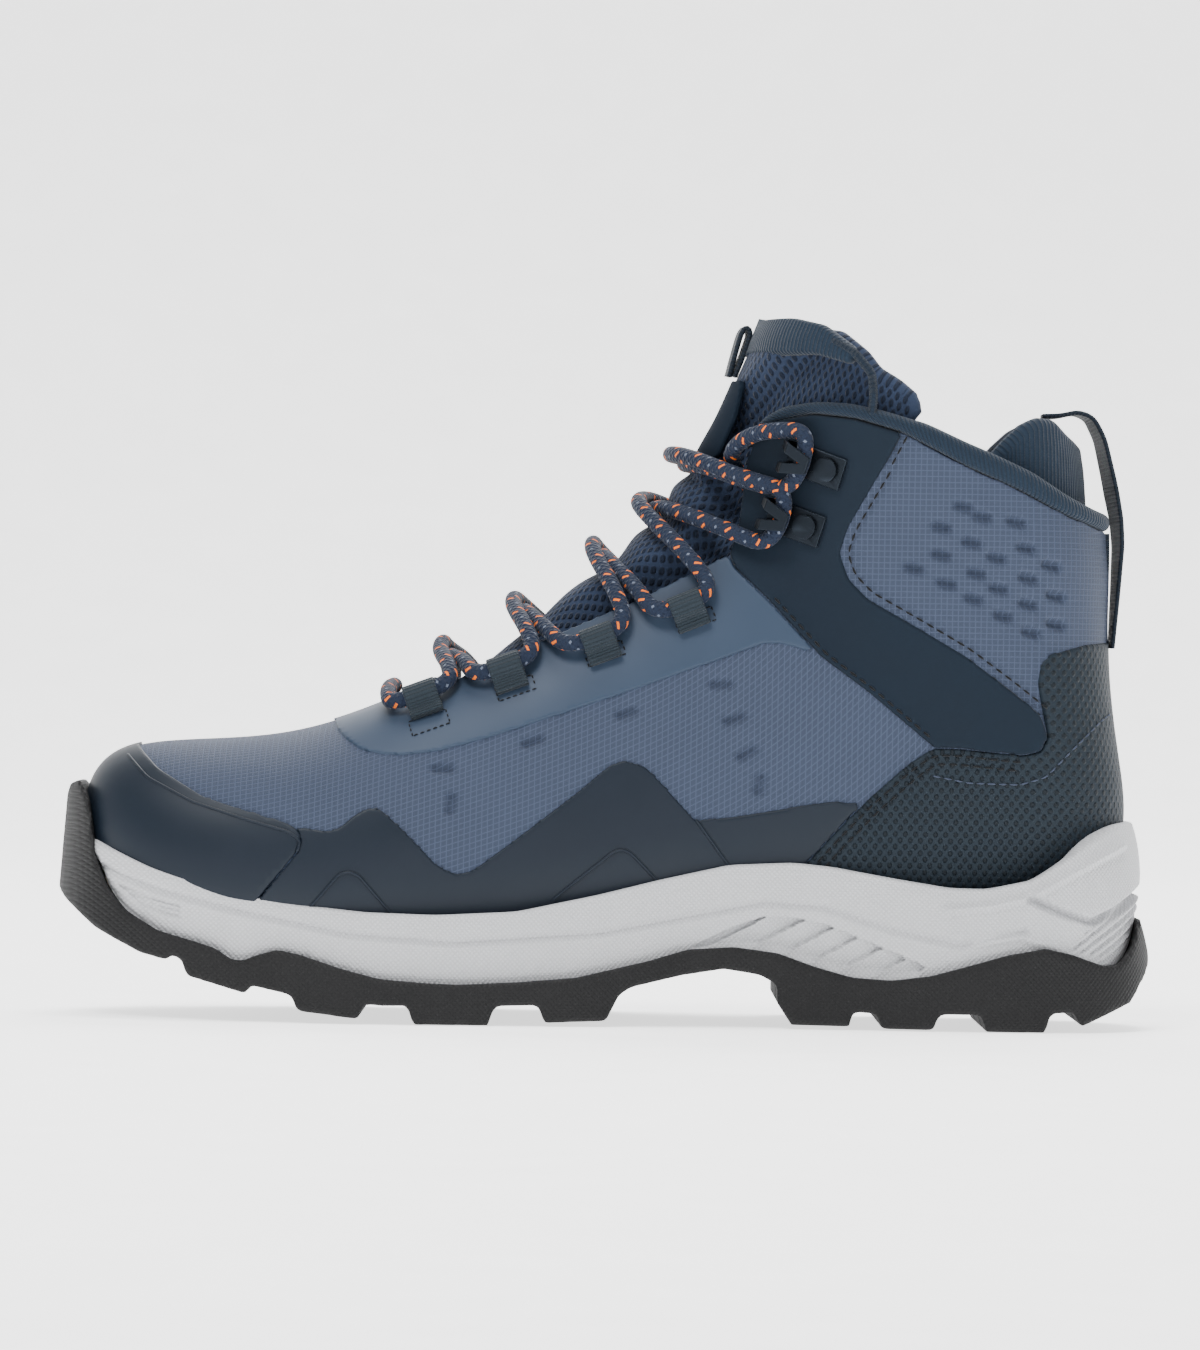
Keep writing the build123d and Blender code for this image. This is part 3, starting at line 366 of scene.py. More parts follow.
def panel(name, outline, sides, base, thick, cell=1.2, roll=1.0, wrap="top", swell=None, style="side",
          inward=False):
    """A closed skin over the part of the last inside an outline, with rolled edges down to its base."""
    edge = rounded(outline)
    ring, _, down = find(edge[:, 0], edge[:, 1], 1)
    ok = (down > -0.2) & (down < 1.2)
    u0, u1 = max(ring[ok].min() - 0.15, 0), min(ring[ok].max() + 0.15, LAST_RING)
    tries = np.linspace(0, 1, 90)
    used = tries[inside(surface(np.linspace(u0, u1, 60)[:, None], tries[None, :])[..., (0, 2)], edge).any(0)]
    v0, v1 = max(used.min() - 0.03, 0), min(used.max() + 0.03, 1)
    if len(sides) == 2:
        spans = (-v1, v1) if wrap == "top" else (v0, 2 - v0)
    else:
        spans = (v0, v1) if sides[0] > 0 else (-v1, -v0)
    probe = surface(np.linspace(u0, u1, 40)[:, None], np.linspace(*spans, 40)[None, :])
    nu = int(np.linalg.norm(np.diff(probe, axis=0), axis=2).sum(0).max() / cell) + 3
    nv = int(np.linalg.norm(np.diff(probe, axis=1), axis=2).sum(1).max() / cell) + 3
    u, v = np.meshgrid(np.linspace(u0, u1, nu), np.linspace(*spans, nv), indexing="ij")
    runs = edge_targets(edge, sides)
    spots = surface(u, v).reshape(-1, 3)

    def signed(points):
        away, place = edge_distance(points, runs)
        return np.where(inside(points[:, (0, 2)], edge), away, -away) - roll, place

    level = np.full(nu * nv, -50.0)
    near = inside(spots[:, (0, 2)], edge)
    grown = near.reshape(nu, nv).copy()
    for shift in ((1, 0), (-1, 0), (0, 1), (0, -1)):
        grown |= np.roll(near.reshape(nu, nv), shift, (0, 1))
    active = grown.ravel()
    level[active] = signed(spots[active])[0]
    level = level.reshape(nu, nv)
    gu, gv = np.gradient(np.maximum(level, -3 * roll - 3))
    steep = gu**2 + gv**2
    snap = (np.abs(level) < 0.35 * np.sqrt(steep)) & (steep > 1e-6)
    du, dv = (u1 - u0) / (nu - 1), (spans[1] - spans[0]) / (nv - 1)
    u = u - np.where(snap, level * gu / np.maximum(steep, 1e-9), 0) * du
    v = v - np.where(snap, level * gv / np.maximum(steep, 1e-9), 0) * dv
    u, v = np.clip(u, 0, LAST_RING), np.clip(v, *spans)
    level = np.where(snap, 0.0, level)
    kept_u, kept_v, ids, faces = [], [], {}, []

    def corner(i, j):
        key = (i, j)
        if key not in ids:
            ids[key] = len(kept_u)
            kept_u.append(u[i, j])
            kept_v.append(v[i, j])
        return ids[key]

    def crossing(a, b):
        key = (min(a, b), max(a, b))
        if key not in ids:
            share = level[a] / (level[a] - level[b])
            ids[key] = len(kept_u)
            kept_u.append(u[a] + (u[b] - u[a]) * share)
            kept_v.append(v[a] + (v[b] - v[a]) * share)
        return ids[key]

    full = level >= 0
    for i, j in zip(*np.nonzero(full[:-1, :-1] | full[1:, :-1] | full[:-1, 1:] | full[1:, 1:])):
        around_cell = [(i, j), (i + 1, j), (i + 1, j + 1), (i, j + 1)]
        loop = []
        for a, b in zip(around_cell, around_cell[1:] + around_cell[:1]):
            if full[a]:
                loop.append(corner(*a))
            if full[a] != full[b] and level[a] != 0 and level[b] != 0:
                loop.append(crossing(a, b))
        if len(loop) > 2:
            faces.append(loop)
    ku, kv = np.array(kept_u), np.array(kept_v)
    top = surface(ku, kv)
    out = normal(ku, kv)
    away, place = edge_distance(top, runs)
    directed = set()
    for loop in faces:
        for a, b in zip(loop, loop[1:] + loop[:1]):
            directed.discard((b, a)) if (b, a) in directed else directed.add((a, b))
    rim = sorted({a for a, _ in directed} | {b for _, b in directed})
    rolled = away < roll * 1.6
    lift = np.full(len(top), base + thick)
    if swell is not None:
        lift += swell(top, away - roll)
    if inward:
        lift = base - thick - (0 if swell is None else swell(top, away - roll))
    verts = [top + out * np.broadcast_to(lift, len(top))[:, None]]
    uv = [weave_coordinates(style, ku, kv, top)]
    rows = {a: [a] for a in rim}
    count = len(top)
    for angle in np.linspace(0, np.pi / 2, 5)[1:]:
        outward, drop = np.sin(angle), 1 - np.cos(angle)
        move = np.where(rolled[rim][:, None], (place - top)[rim] * outward, 0)
        height = np.broadcast_to(lift, len(top))[rim]
        height = height + (base - height) * drop
        verts.append(top[rim] + move + out[rim] * height[:, None])
        uv.append(uv[0][rim])
        for k, a in enumerate(rim):
            rows[a].append(count + k)
        count += len(rim)
    verts.append(top + out * (base + (SKIN_SINK if inward else -SKIN_SINK)))
    uv.append(uv[0])
    walls = []
    for a, b in directed:
        chain_a, chain_b = rows[a] + [count + a], rows[b] + [count + b]
        for k in range(len(chain_a) - 1):
            walls.append([chain_b[k], chain_a[k], chain_a[k + 1], chain_b[k + 1]])
    under = [[count + a for a in reversed(loop)] for loop in faces]
    every = faces + walls + under
    if not inward:
        every = [loop[::-1] for loop in every]
    return make_mesh(name, np.vstack(verts), every, np.vstack(uv))


def sleeve(rings, count):
    """The faces of a row of rings of points, joined one to the next and capped at both ends."""
    faces = []
    for i in range(rings - 1):
        for j in range(count):
            k = (j + 1) % count
            faces.append([i * count + j, i * count + k, (i + 1) * count + k, (i + 1) * count + j])
    return faces + [list(range(count))[::-1], [(rings - 1) * count + j for j in range(count)]]


def tube_mesh(name, line, radius, sides=10):
    """A round tube along a line of points in millimetres, capped at its ends."""
    line = np.asarray(line, float)
    run = unit(np.gradient(line, axis=0))
    up = np.zeros_like(run)
    first = np.cross(run[0], (0.3, 0.5, 0.81))
    up[0] = first / np.linalg.norm(first)
    for i in range(1, len(line)):
        step = up[i - 1] - run[i] * (run[i] @ up[i - 1])
        up[i] = step / np.linalg.norm(step)
    side = np.cross(run, up)
    turn = np.linspace(0, 2 * np.pi, sides, endpoint=False)
    radius = np.broadcast_to(radius, len(line))
    verts = (line[:, None] + radius[:, None, None] * (np.cos(turn)[None, :, None] * side[:, None]
             + np.sin(turn)[None, :, None] * up[:, None])).reshape(-1, 3)
    far = distances(line)
    piece = make_mesh(name, verts, sleeve(len(line), sides))
    layer = piece.data.uv_layers.new(name="weave")
    for polygon in piece.data.polygons:
        wraps = {v % sides for v in polygon.vertices} == {0, sides - 1}
        for loop in polygon.loop_indices:
            v = piece.data.loops[loop].vertex_index
            j = v % sides
            j = sides if wraps and j == 0 else j
            layer.data[loop].uv = (far[v // sides] * MM, j / sides)
    return piece


def join_meshes(name, pieces):
    """One object from several, keeping their weave coordinates."""
    verts, faces, uvs, count = [], [], [], 0
    for piece in pieces:
        mesh = piece.data
        co = np.empty(len(mesh.vertices) * 3)
        mesh.vertices.foreach_get("co", co)
        verts.append(co.reshape(-1, 3))
        faces += [[v + count for v in p.vertices] for p in mesh.polygons]
        layer = mesh.uv_layers.get("weave")
        flat = np.zeros(len(mesh.loops) * 2)
        if layer:
            layer.data.foreach_get("uv", flat)
        uvs.append(flat)
        count += len(mesh.vertices)
        bpy.data.objects.remove(piece)
    whole = make_mesh(name, np.vstack(verts), faces, scale=1.0)
    layer = whole.data.uv_layers.new(name="weave")
    layer.data.foreach_set("uv", np.concatenate(uvs))
    return whole


def stitches(line, out, length, gap, radius):
    """Short raised stitches along a line on the upper, with out the outward direction at each point."""
    far = distances(line)
    verts, faces = [], []
    ring = [(-1, 0), (-0.7, 0.8), (0, 1.1), (0.7, 0.8), (1, 0)]
    for start in np.arange(0, far[-1] - length, length + gap):
        at = np.linspace(start, start + length, 5)
        path = resampled(line, far, at)
        up = unit(resampled(out, far, at))
        run = unit(np.gradient(path, axis=0))
        side = np.cross(run, up)
        count = len(verts)
        for place, shrink in zip(range(5), (0.25, 0.85, 1, 0.85, 0.25)):
            rise = radius * (shrink - 0.35)
            for a, b in ring:
                verts.append(path[place] + side[place] * a * radius * max(shrink, 0.4)
                             + up[place] * (b * radius * shrink + rise - 0.25 * radius))
        for i in range(4):
            for j in range(4):
                q = count + i * 5 + j
                faces.append([q, q + 5, q + 6, q + 1])
            faces.append([count + i * 5 + 4, count + i * 5 + 9, count + i * 5 + 5, count + i * 5])
        faces.append([count + j for j in range(5)])
        faces.append([count + 20 + j for j in range(5)][::-1])
    return verts, faces


def seam(name, rows, material, slot, **stitch):
    """Rows of stitches: each row is a side-view line, a side and a lift."""
    verts, faces = [], []
    for points, side, lift in rows:
        path = rounded(points, 2.0, closed=False)
        line, out = on_last(path[:, 0], path[:, 1], side, lift)
        more, loops = stitches(line, out, **stitch)
        faces += [[v + len(verts) for v in loop] for loop in loops]
        verts += more
    return finish_piece(make_mesh(name, verts, faces), material, "boot")


def ridge(name, rows, radius, material, body):
    """Thin raised beads along side-view lines of the upper."""
    beads = []
    for points, side, lift in rows:
        path = rounded(points, 2.0, closed=False)
        line, _ = on_last(path[:, 0], path[:, 1], side, lift)
        size = np.full(len(line), radius)
        size[0] = size[-1] = 0.3 * radius
        beads.append(tube_mesh(name, line, size, 8))
    return finish_piece(join_meshes(name, beads), material, body)


# ------------------------------------------------------------------ outlines made from the ones above

VAMP_SEAM = -45.0
FOOT_AHEAD = [p for p in FOOT_LINE if p[0] < VAMP_SEAM]
FOOT_BEHIND = [p for p in FOOT_LINE if p[0] > VAMP_SEAM]
VAMP = [(VAMP_SEAM, 25.5)] + FOOT_AHEAD[::-1] + [(-170, 104), (-61, 104), (-61, 90), (VAMP_SEAM, 94.4)]
PANEL_SPLIT = [(48.3, 158), (50, 136), (60, 116), (100, 90), (170, 84)]
LOWER = [(-170, 40), (-170, 104), (-61, 104), (-61, 90)] + THROAT[2:] + [(44, 168.8), (47.5, 169.2)]
LOWER += PANEL_SPLIT + FOOT_LINE[:0:-1]
COLLAR_PANEL = [(47.5, 169.2)] + PANEL_SPLIT + [(170, 134.5)] + COLLAR[:0:-1]
REAR = [(VAMP_SEAM, 94.4)] + THROAT[2:] + COLLAR + FOOT_BEHIND[::-1] + [(VAMP_SEAM, 25.5)]
TOE_CAP = RAND_TOP[:5] + [(-86.5, 54.6), (-83.6, 52.5)] + CAP_LINE[6:]
TOE_CAP += [p for p in FOOT_LINE if p[0] < -100][::-1] + [(-170, 95)]
HEEL_PANEL = HEEL_TOP + [(170, 111), (170, 46)] + [p for p in FOOT_LINE if 60 < p[0] < 160][::-1] + [(56, 32)]
RAND = [(-85, 54.2)] + RAND_TOP[5:] + [(66, 56), (56, 44.9), (56, 33)]
RAND += [p for p in FOOT_LINE if -97 < p[0] < 56][::-1] + CAP_LINE[:5:-1]
EYESTAY = EYESTAY_LOW + STRAP_FRONT[2::-1] + THROAT[5::-1]
ANKLE_STRAP = STRAP_FRONT + STRAP_REAR + COLLAR[2::-1] + THROAT[:6:-1]
TONGUE_LINE = [(-74, 108), (-74, 81), (-52, 82), (-38, 88), (-10, 98), (20, 112), (42, 128), (52, 142),
               (64, 160), (86, 169), (85, 176), (79, 180.5), (72.5, 184), (68, 189), (59, 195.5),
               (50, 197.5), (42, 195), (30, 197), (0, 155), (-40, 120)]
TONGUE_CROWN = [(-60, 108), (-60, 90), (-40, 97.6), (-17, 110), (9, 122.6), (20, 129), (28.5, 136),
                (31.5, 147), (32.5, 158), (34.5, 168), (42, 178), (52, 188), (54, 200), (30, 200), (0, 158),
                (-40, 122)]
LABEL_LINE = [(10, 158.5), (30.5, 158.5), (35.3, 170), (37.4, 180.5), (10, 180.5)]
TONGUE_CUFF = [(20, 186.5), (40, 188), (56, 187.6), (66, 184.5), (69, 188), (58, 196), (50, 198.2),
               (20, 199)]
TONGUE_TAB = [(33.1, 182), (34.6, 188), (36.2, 194), (37.4, 196.2), (38.6, 196), (39, 194), (37, 188),
              (34.7, 182)]


def inset(points, distance):
    """An open side-view line moved to its left by a distance, in millimetres."""
    line = rounded(points, 2.5, closed=False)
    run = unit(np.gradient(line, axis=0))
    return line + distance * np.stack([-run[:, 1], run[:, 0]], 1)


def capsule(x, z, place, angle, half, wide):
    """A side-view distance mask, 1 on a short slanted bar and 0 beyond its soft edge."""
    c, s = np.cos(np.radians(angle)), np.sin(np.radians(angle))
    dx, dz = x - place[0], z - place[1]
    along, across = dx * c + dz * s, -dx * s + dz * c
    gap = np.hypot(np.maximum(np.abs(along) - half, 0), across)
    return np.clip(1.25 - gap / wide, 0, 1)


def soft_step(value, low, high):
    share = np.clip((value - low) / (high - low), 0, 1)
    return share * share * (3 - 2 * share)


# ------------------------------------------------------------------ finishes

def srgb(*values):
    return tuple(((v / 255 + 0.055) / 1.055) ** 2.4 if v > 10 else v / 255 / 12.92 for v in values)


def put(tree, kind, **values):
    """A node with its properties, and its inputs given as links or numbers by name."""
    node = tree.nodes.new(kind)
    for name, value in values.pop("props", {}).items():
        setattr(node, name, value)
    for name, value in values.items():
        socket = node.inputs[int(name[1:])] if name[0] == "_" else node.inputs[name.replace("_", " ")]
        if isinstance(value, bpy.types.NodeSocket):
            tree.links.new(value, socket)
        else:
            socket.default_value = value
    return node


def sums(tree, operation, *values):
    """A Math node's result."""
    node = tree.nodes.new("ShaderNodeMath")
    node.operation = operation
    for socket, value in zip(node.inputs, values):
        if isinstance(value, bpy.types.NodeSocket):
            tree.links.new(value, socket)
        else:
            socket.default_value = value
    return node.outputs[0]


def shader_group(name, inputs, outputs):
    """A new shader node group with named inputs and outputs, its tree and its two ends."""
    tree = bpy.data.node_groups.new(name, "ShaderNodeTree")
    for label, kind, value in inputs:
        socket = tree.interface.new_socket(label, in_out="INPUT", socket_type=kind)
        if value is not None:
            socket.default_value = value
    for label in outputs:
        tree.interface.new_socket(label, in_out="OUTPUT", socket_type="NodeSocketFloat")
    return tree, tree.nodes.new("NodeGroupInput").outputs, tree.nodes.new("NodeGroupOutput").inputs


VECTOR, FLOAT = "NodeSocketVector", "NodeSocketFloat"


def make_weave_group():
    """Plain weave with thicker reinforcing yarns at every cell: thread height and a mask of those yarns."""
    tree, given, result = shader_group(
        "Ripstop weave", [("Vector", VECTOR, None), ("Yarn", FLOAT, 0.0005), ("Cell", FLOAT, 0.003),
                          ("Line", FLOAT, 0.2)], ["Height", "Grid"])
    parts = put(tree, "ShaderNodeSeparateXYZ", Vector=given["Vector"]).outputs
    threads, floors, grid = [], [], []
    for axis in (0, 1):
        share = sums(tree, "DIVIDE", parts[axis], given["Yarn"])
        threads.append(sums(tree, "ABSOLUTE", sums(tree, "SINE", sums(tree, "MULTIPLY", share, np.pi))))
        floors.append(sums(tree, "FLOOR", share))
        cell = sums(tree, "FRACT", sums(tree, "DIVIDE", parts[axis], given["Cell"]))
        far = sums(tree, "ABSOLUTE", sums(tree, "SUBTRACT", cell, 0.5))
        away = sums(tree, "DIVIDE", sums(tree, "SUBTRACT", 0.5, far), given["Line"])
        grid.append(sums(tree, "SUBTRACT", 1.0, sums(tree, "MINIMUM", away, 1.0)))
    over = sums(tree, "FRACT", sums(tree, "MULTIPLY", sums(tree, "ADD", *floors), 0.5))
    over = sums(tree, "GREATER_THAN", over, 0.25)
    first = sums(tree, "MULTIPLY", threads[0], sums(tree, "MULTIPLY_ADD", threads[1], 0.6, 0.4))
    second = sums(tree, "MULTIPLY", threads[1], sums(tree, "MULTIPLY_ADD", threads[0], 0.6, 0.4))
    plain = sums(tree, "ADD", sums(tree, "MULTIPLY", first, over),
                 sums(tree, "MULTIPLY", second, sums(tree, "SUBTRACT", 1.0, over)))
    mask = sums(tree, "MAXIMUM", *grid)
    tree.links.new(sums(tree, "ADD", sums(tree, "MULTIPLY", plain, 0.55), sums(tree, "MULTIPLY", mask, 0.45)),
                   result["Height"])
    tree.links.new(mask, result["Grid"])
    return tree


def make_mesh_group():
    """Open knit mesh: raised threads round diamond holes, and a mask of the holes, which the finishes darken
    as painted shade.
    """
    tree, given, result = shader_group(
        "Open mesh", [("Vector", VECTOR, None), ("Pitch", FLOAT, 0.002), ("Slant", FLOAT, 1.4),
                      ("Hole", FLOAT, 0.35)], ["Height", "Hole"])
    parts = put(tree, "ShaderNodeSeparateXYZ", Vector=given["Vector"]).outputs
    across = sums(tree, "MULTIPLY", sums(tree, "DIVIDE", parts[0], given["Pitch"]), np.pi)
    along = sums(tree, "MULTIPLY", sums(tree, "DIVIDE", sums(tree, "MULTIPLY", parts[1], given["Slant"]),
                                        given["Pitch"]), np.pi)
    wave = sums(tree, "MULTIPLY", sums(tree, "SINE", sums(tree, "ADD", across, along)),
                sums(tree, "SINE", sums(tree, "SUBTRACT", across, along)))
    hole = sums(tree, "ABSOLUTE", wave)
    deep = sums(tree, "MULTIPLY", sums(tree, "SUBTRACT", hole, given["Hole"]), 2.5)
    deep = sums(tree, "MINIMUM", sums(tree, "MAXIMUM", deep, 0.0), 1.0)
    tree.links.new(sums(tree, "SUBTRACT", 1.0, deep), result["Height"])
    tree.links.new(deep, result["Hole"])
    return tree


def make_rib_group():
    """Ribs across a strap with fine cross threads, and a mask of the grooves, which the finishes darken as
    painted shade.
    """
    tree, given, result = shader_group(
        "Webbing rib", [("Vector", VECTOR, None), ("Pitch", FLOAT, 0.0012), ("Thread", FLOAT, 0.0006)],
        ["Height", "Groove"])
    parts = put(tree, "ShaderNodeSeparateXYZ", Vector=given["Vector"]).outputs
    wave = sums(tree, "SINE", sums(tree, "MULTIPLY", sums(tree, "DIVIDE", parts[0], given["Pitch"]), np.pi))
    rib = sums(tree, "ABSOLUTE", wave)
    cross = sums(tree, "ABSOLUTE", sums(tree, "SINE", sums(
        tree, "MULTIPLY", sums(tree, "DIVIDE", parts[1], given["Thread"]), np.pi)))
    height = sums(tree, "MULTIPLY", sums(tree, "POWER", rib, 0.6),
                  sums(tree, "MULTIPLY_ADD", cross, 0.3, 0.7))
    tree.links.new(height, result["Height"])
    tree.links.new(sums(tree, "SUBTRACT", 1.0, sums(tree, "POWER", rib, 0.5)), result["Groove"])
    return tree


def make_grain_group():
    """Fine irregular grain and broad uneven tone."""
    tree, given, result = shader_group(
        "Grain", [("Vector", VECTOR, None), ("Size", FLOAT, 0.0006)], ["Height", "Tone"])
    scale = sums(tree, "DIVIDE", 1.0, given["Size"])
    fine = put(tree, "ShaderNodeTexNoise", Vector=given["Vector"], Scale=scale, Detail=4.0, Roughness=0.6)
    broad = put(tree, "ShaderNodeTexNoise", Vector=given["Vector"], Scale=45.0, Detail=3.0)
    tree.links.new(fine.outputs[0], result["Height"])
    tree.links.new(broad.outputs[0], result["Tone"])
    return tree


def make_wear_group():
    """Mask of rubbed convex edges, broken up by noise."""
    tree, given, result = shader_group("Edge wear", [("Vector", VECTOR, None), ("Spread", FLOAT, 0.06)],
                                       ["Wear"])
    bend = put(tree, "ShaderNodeNewGeometry").outputs["Pointiness"]
    noise = put(tree, "ShaderNodeTexNoise", Vector=given["Vector"], Scale=260.0, Detail=5.0).outputs[0]
    raised = sums(tree, "DIVIDE", sums(tree, "SUBTRACT", bend, 0.53), given["Spread"])
    raised = sums(tree, "MINIMUM", sums(tree, "MAXIMUM", raised, 0.0), 1.0)
    tree.links.new(sums(tree, "MULTIPLY", raised, sums(tree, "MULTIPLY_ADD", noise, 1.1, 0.1)),
                   result["Wear"])
    return tree


def make_knurl_group():
    """Fine diamond knurl pressed into a moulded face, seen from the side, with a mask of its grooves, which
    the finishes darken as painted shade.
    """
    tree, given, result = shader_group("Knurl", [("Vector", VECTOR, None), ("Pitch", FLOAT, 0.0011)],
                                       ["Height", "Groove"])
    parts = put(tree, "ShaderNodeSeparateXYZ", Vector=given["Vector"]).outputs
    flat = sums(tree, "ADD", parts[0], sums(tree, "MULTIPLY", parts[1], 0.35))
    waves = []
    for sign in (1, -1):
        slant = sums(tree, "ADD", flat, sums(tree, "MULTIPLY", parts[2], float(sign)))
        waves.append(sums(tree, "ABSOLUTE", sums(tree, "SINE", sums(
            tree, "MULTIPLY", sums(tree, "DIVIDE", slant, given["Pitch"]), np.pi))))
    height = sums(tree, "MULTIPLY", *waves)
    tree.links.new(height, result["Height"])
    tree.links.new(sums(tree, "SUBTRACT", 1.0, height), result["Groove"])
    return tree


def make_braid_group():
    """Braided cord: plait height, coloured flecks in pairs and pale threads along it."""
    tree, given, result = shader_group(
        "Braid", [("Vector", VECTOR, None), ("Pitch", FLOAT, 0.0026), ("Repeat", FLOAT, 0.0105)],
        ["Height", "Fleck", "Pale"])
    parts = put(tree, "ShaderNodeSeparateXYZ", Vector=given["Vector"]).outputs
    run = sums(tree, "DIVIDE", parts[0], given["Pitch"])
    turn = sums(tree, "MULTIPLY", parts[1], 6.0)
    plaits = []
    for way in ("ADD", "SUBTRACT"):
        angle = sums(tree, "MULTIPLY", sums(tree, way, run, turn), np.pi)
        plaits.append(sums(tree, "ABSOLUTE", sums(tree, "SINE", angle)))
    height = sums(tree, "MAXIMUM", sums(tree, "MULTIPLY", plaits[0], 0.9), plaits[1])
    tree.links.new(height, result["Height"])
    phase = sums(tree, "FRACT", sums(tree, "ADD", sums(tree, "DIVIDE", parts[0], given["Repeat"]), parts[1]))
    band = sums(tree, "LESS_THAN", phase, 0.25)
    strand = sums(tree, "FRACT", sums(tree, "SUBTRACT", sums(tree, "MULTIPLY", run, 0.5),
                                      sums(tree, "MULTIPLY", parts[1], 3.0)))
    slim = sums(tree, "MULTIPLY", sums(tree, "LESS_THAN", strand, 0.36),
                sums(tree, "GREATER_THAN", strand, 0.12))
    tree.links.new(sums(tree, "MULTIPLY", band, slim), result["Fleck"])
    pale = sums(tree, "MULTIPLY", sums(tree, "GREATER_THAN", phase, 0.62),
                sums(tree, "LESS_THAN", phase, 0.72))
    tree.links.new(sums(tree, "MULTIPLY", pale, slim), result["Pale"])
    return tree


def effects():
    """The shared shader node groups, built once."""
    if "Grain" not in bpy.data.node_groups:
        for make in (make_weave_group, make_mesh_group, make_rib_group, make_grain_group, make_wear_group,
                     make_knurl_group, make_braid_group):
            make()
    return bpy.data.node_groups


def use(tree, name, vector, **values):
    node = tree.nodes.new("ShaderNodeGroup")
    node.node_tree = effects()[name]
    tree.links.new(vector, node.inputs["Vector"])
    for key, value in values.items():
        node.inputs[key].default_value = value
    return node.outputs


GRAIN_SHARE = 0.3


def finish_for(name, colour, roughness, pattern=None, coords="UV", groove=None, pattern_and_shade_share=0.5,
               grain=0.0006,
               bump=0.00025, wear=None, wear_share=0.5, sheen=0.0, metallic=0.0, uneven=0.10, specular=0.2,
               **values):
    """A finish from one base colour: a pattern's own colour marks, painted shade in the grooves and holes of
    patterns that have no colour of their own, grain, uneven tone and rubbed edges.
    """
    if name in bpy.data.materials:
        return bpy.data.materials[name]
    material = bpy.data.materials.new(name)
    material.use_nodes = True
    tree = material.node_tree
    shader = tree.nodes["Principled BSDF"]
    spots = put(tree, "ShaderNodeTexCoord").outputs
    grains = use(tree, "Grain", spots["Object"], Size=grain)
    dark = tuple(c * (1 - uneven) for c in colour)
    light = tuple(min(c * (1 + uneven), 1) for c in colour)

    def mixed(first, second, share):
        node = put(tree, "ShaderNodeMix", props={"data_type": "RGBA"})
        for socket, value in ((node.inputs[0], share), (node.inputs[6], first), (node.inputs[7], second)):
            if isinstance(value, bpy.types.NodeSocket):
                tree.links.new(value, socket)
            elif isinstance(value, tuple):
                socket.default_value = (*value, 1)
            else:
                socket.default_value = value
        return node.outputs[2]

    tone = mixed(dark, light, grains["Tone"])
    height = sums(tree, "MULTIPLY", grains["Height"], GRAIN_SHARE)
    if pattern:
        marks = use(tree, pattern, spots[coords], **values)
        height = sums(tree, "ADD", height, marks[0])
        # A pattern without a colour of its own gets a darker copy of the base colour in its grooves and
        # holes: painted shade. A given colour is the pattern's own, such as the ripstop's reinforcing yarns
        # or the lace's flecks.
        second = groove or tuple(c * 0.35 for c in colour)
        tone = mixed(tone, second, sums(tree, "MULTIPLY", marks[1], pattern_and_shade_share))
        if pattern == "Braid":
            tone = mixed(tone, wear, marks["Pale"])
    if wear and pattern != "Braid":
        rubbed = use(tree, "Edge wear", spots["Object"])["Wear"]
        tone = mixed(tone, wear, sums(tree, "MULTIPLY", rubbed, wear_share))
    tree.links.new(tone, shader.inputs["Base Color"])
    rough = sums(tree, "MULTIPLY_ADD", grains["Tone"], 0.16, roughness - 0.08)
    tree.links.new(rough, shader.inputs["Roughness"])
    lump = put(tree, "ShaderNodeBump", Height=height)
    lump.inputs["Strength"].default_value = 1.0
    lump.inputs["Distance"].default_value = bump
    tree.links.new(lump.outputs[0], shader.inputs["Normal"])
    shader.inputs["Metallic"].default_value = metallic
    shader.inputs["Sheen Weight"].default_value = sheen
    shader.inputs["Sheen Roughness"].default_value = 0.45
    shader.inputs["Specular IOR Level"].default_value = specular
    return material


def colours():
    return bpy.context.scene.boot_colours


def sizes():
    return bpy.context.scene.boot_sizes


def ripstop():
    return finish_for("ripstop fabric", tuple(colours().ripstop), 0.62, "Ripstop weave", groove=tuple(
        c * 2.1 for c in colours().ripstop), pattern_and_shade_share=0.5, bump=0.00016, sheen=0.05, specular=0.15,
        Yarn=sizes().yarn, Cell=sizes().ripstop_cell, Line=0.14)


def toe_film():
    return finish_for("toe film", tuple(colours().toe_film), 0.48, grain=0.00035, bump=0.00003, uneven=0.06,
                      wear=tuple(min(c * 2.2, 1) for c in colours().toe_film), wear_share=0.4, specular=0.21)


def eyestay_film():
    return finish_for("eyestay film", tuple(colours().eyestay_film), 0.5, grain=0.0003, bump=0.00003,
                      uneven=0.05,
                      wear=tuple(min(c * 1.8, 1) for c in colours().eyestay_film), wear_share=0.35,
                      specular=0.20)


def strap_microfibre():
    return finish_for("strap microfibre", tuple(colours().strap), 0.7, grain=0.0004, bump=0.00008,
                      uneven=0.12,
                      sheen=0.07, specular=0.12)


def heel_weave():
    # Its holes are darkened: painted shade.
    return finish_for("heel weave", tuple(colours().heel_weave), 0.6, "Open mesh", pattern_and_shade_share=0.75,
                      bump=0.00045, sheen=0.03, Pitch=0.0028, Slant=0.8, Hole=0.45)


def lining_mesh():
    # Its holes are darkened: painted shade.
    return finish_for("lining mesh", tuple(colours().lining), 0.85, "Open mesh", pattern_and_shade_share=0.5,
                      bump=0.0003,
                      sheen=0.09, Pitch=0.0026, Slant=1.0, Hole=0.5)


def knit():
    # Its rib grooves are darkened: painted shade.
    return finish_for("rib knit", tuple(colours().knit), 0.8, "Webbing rib", pattern_and_shade_share=0.5, bump=0.0003,
                      sheen=0.10, specular=0.10, Pitch=0.0013, Thread=0.0008)


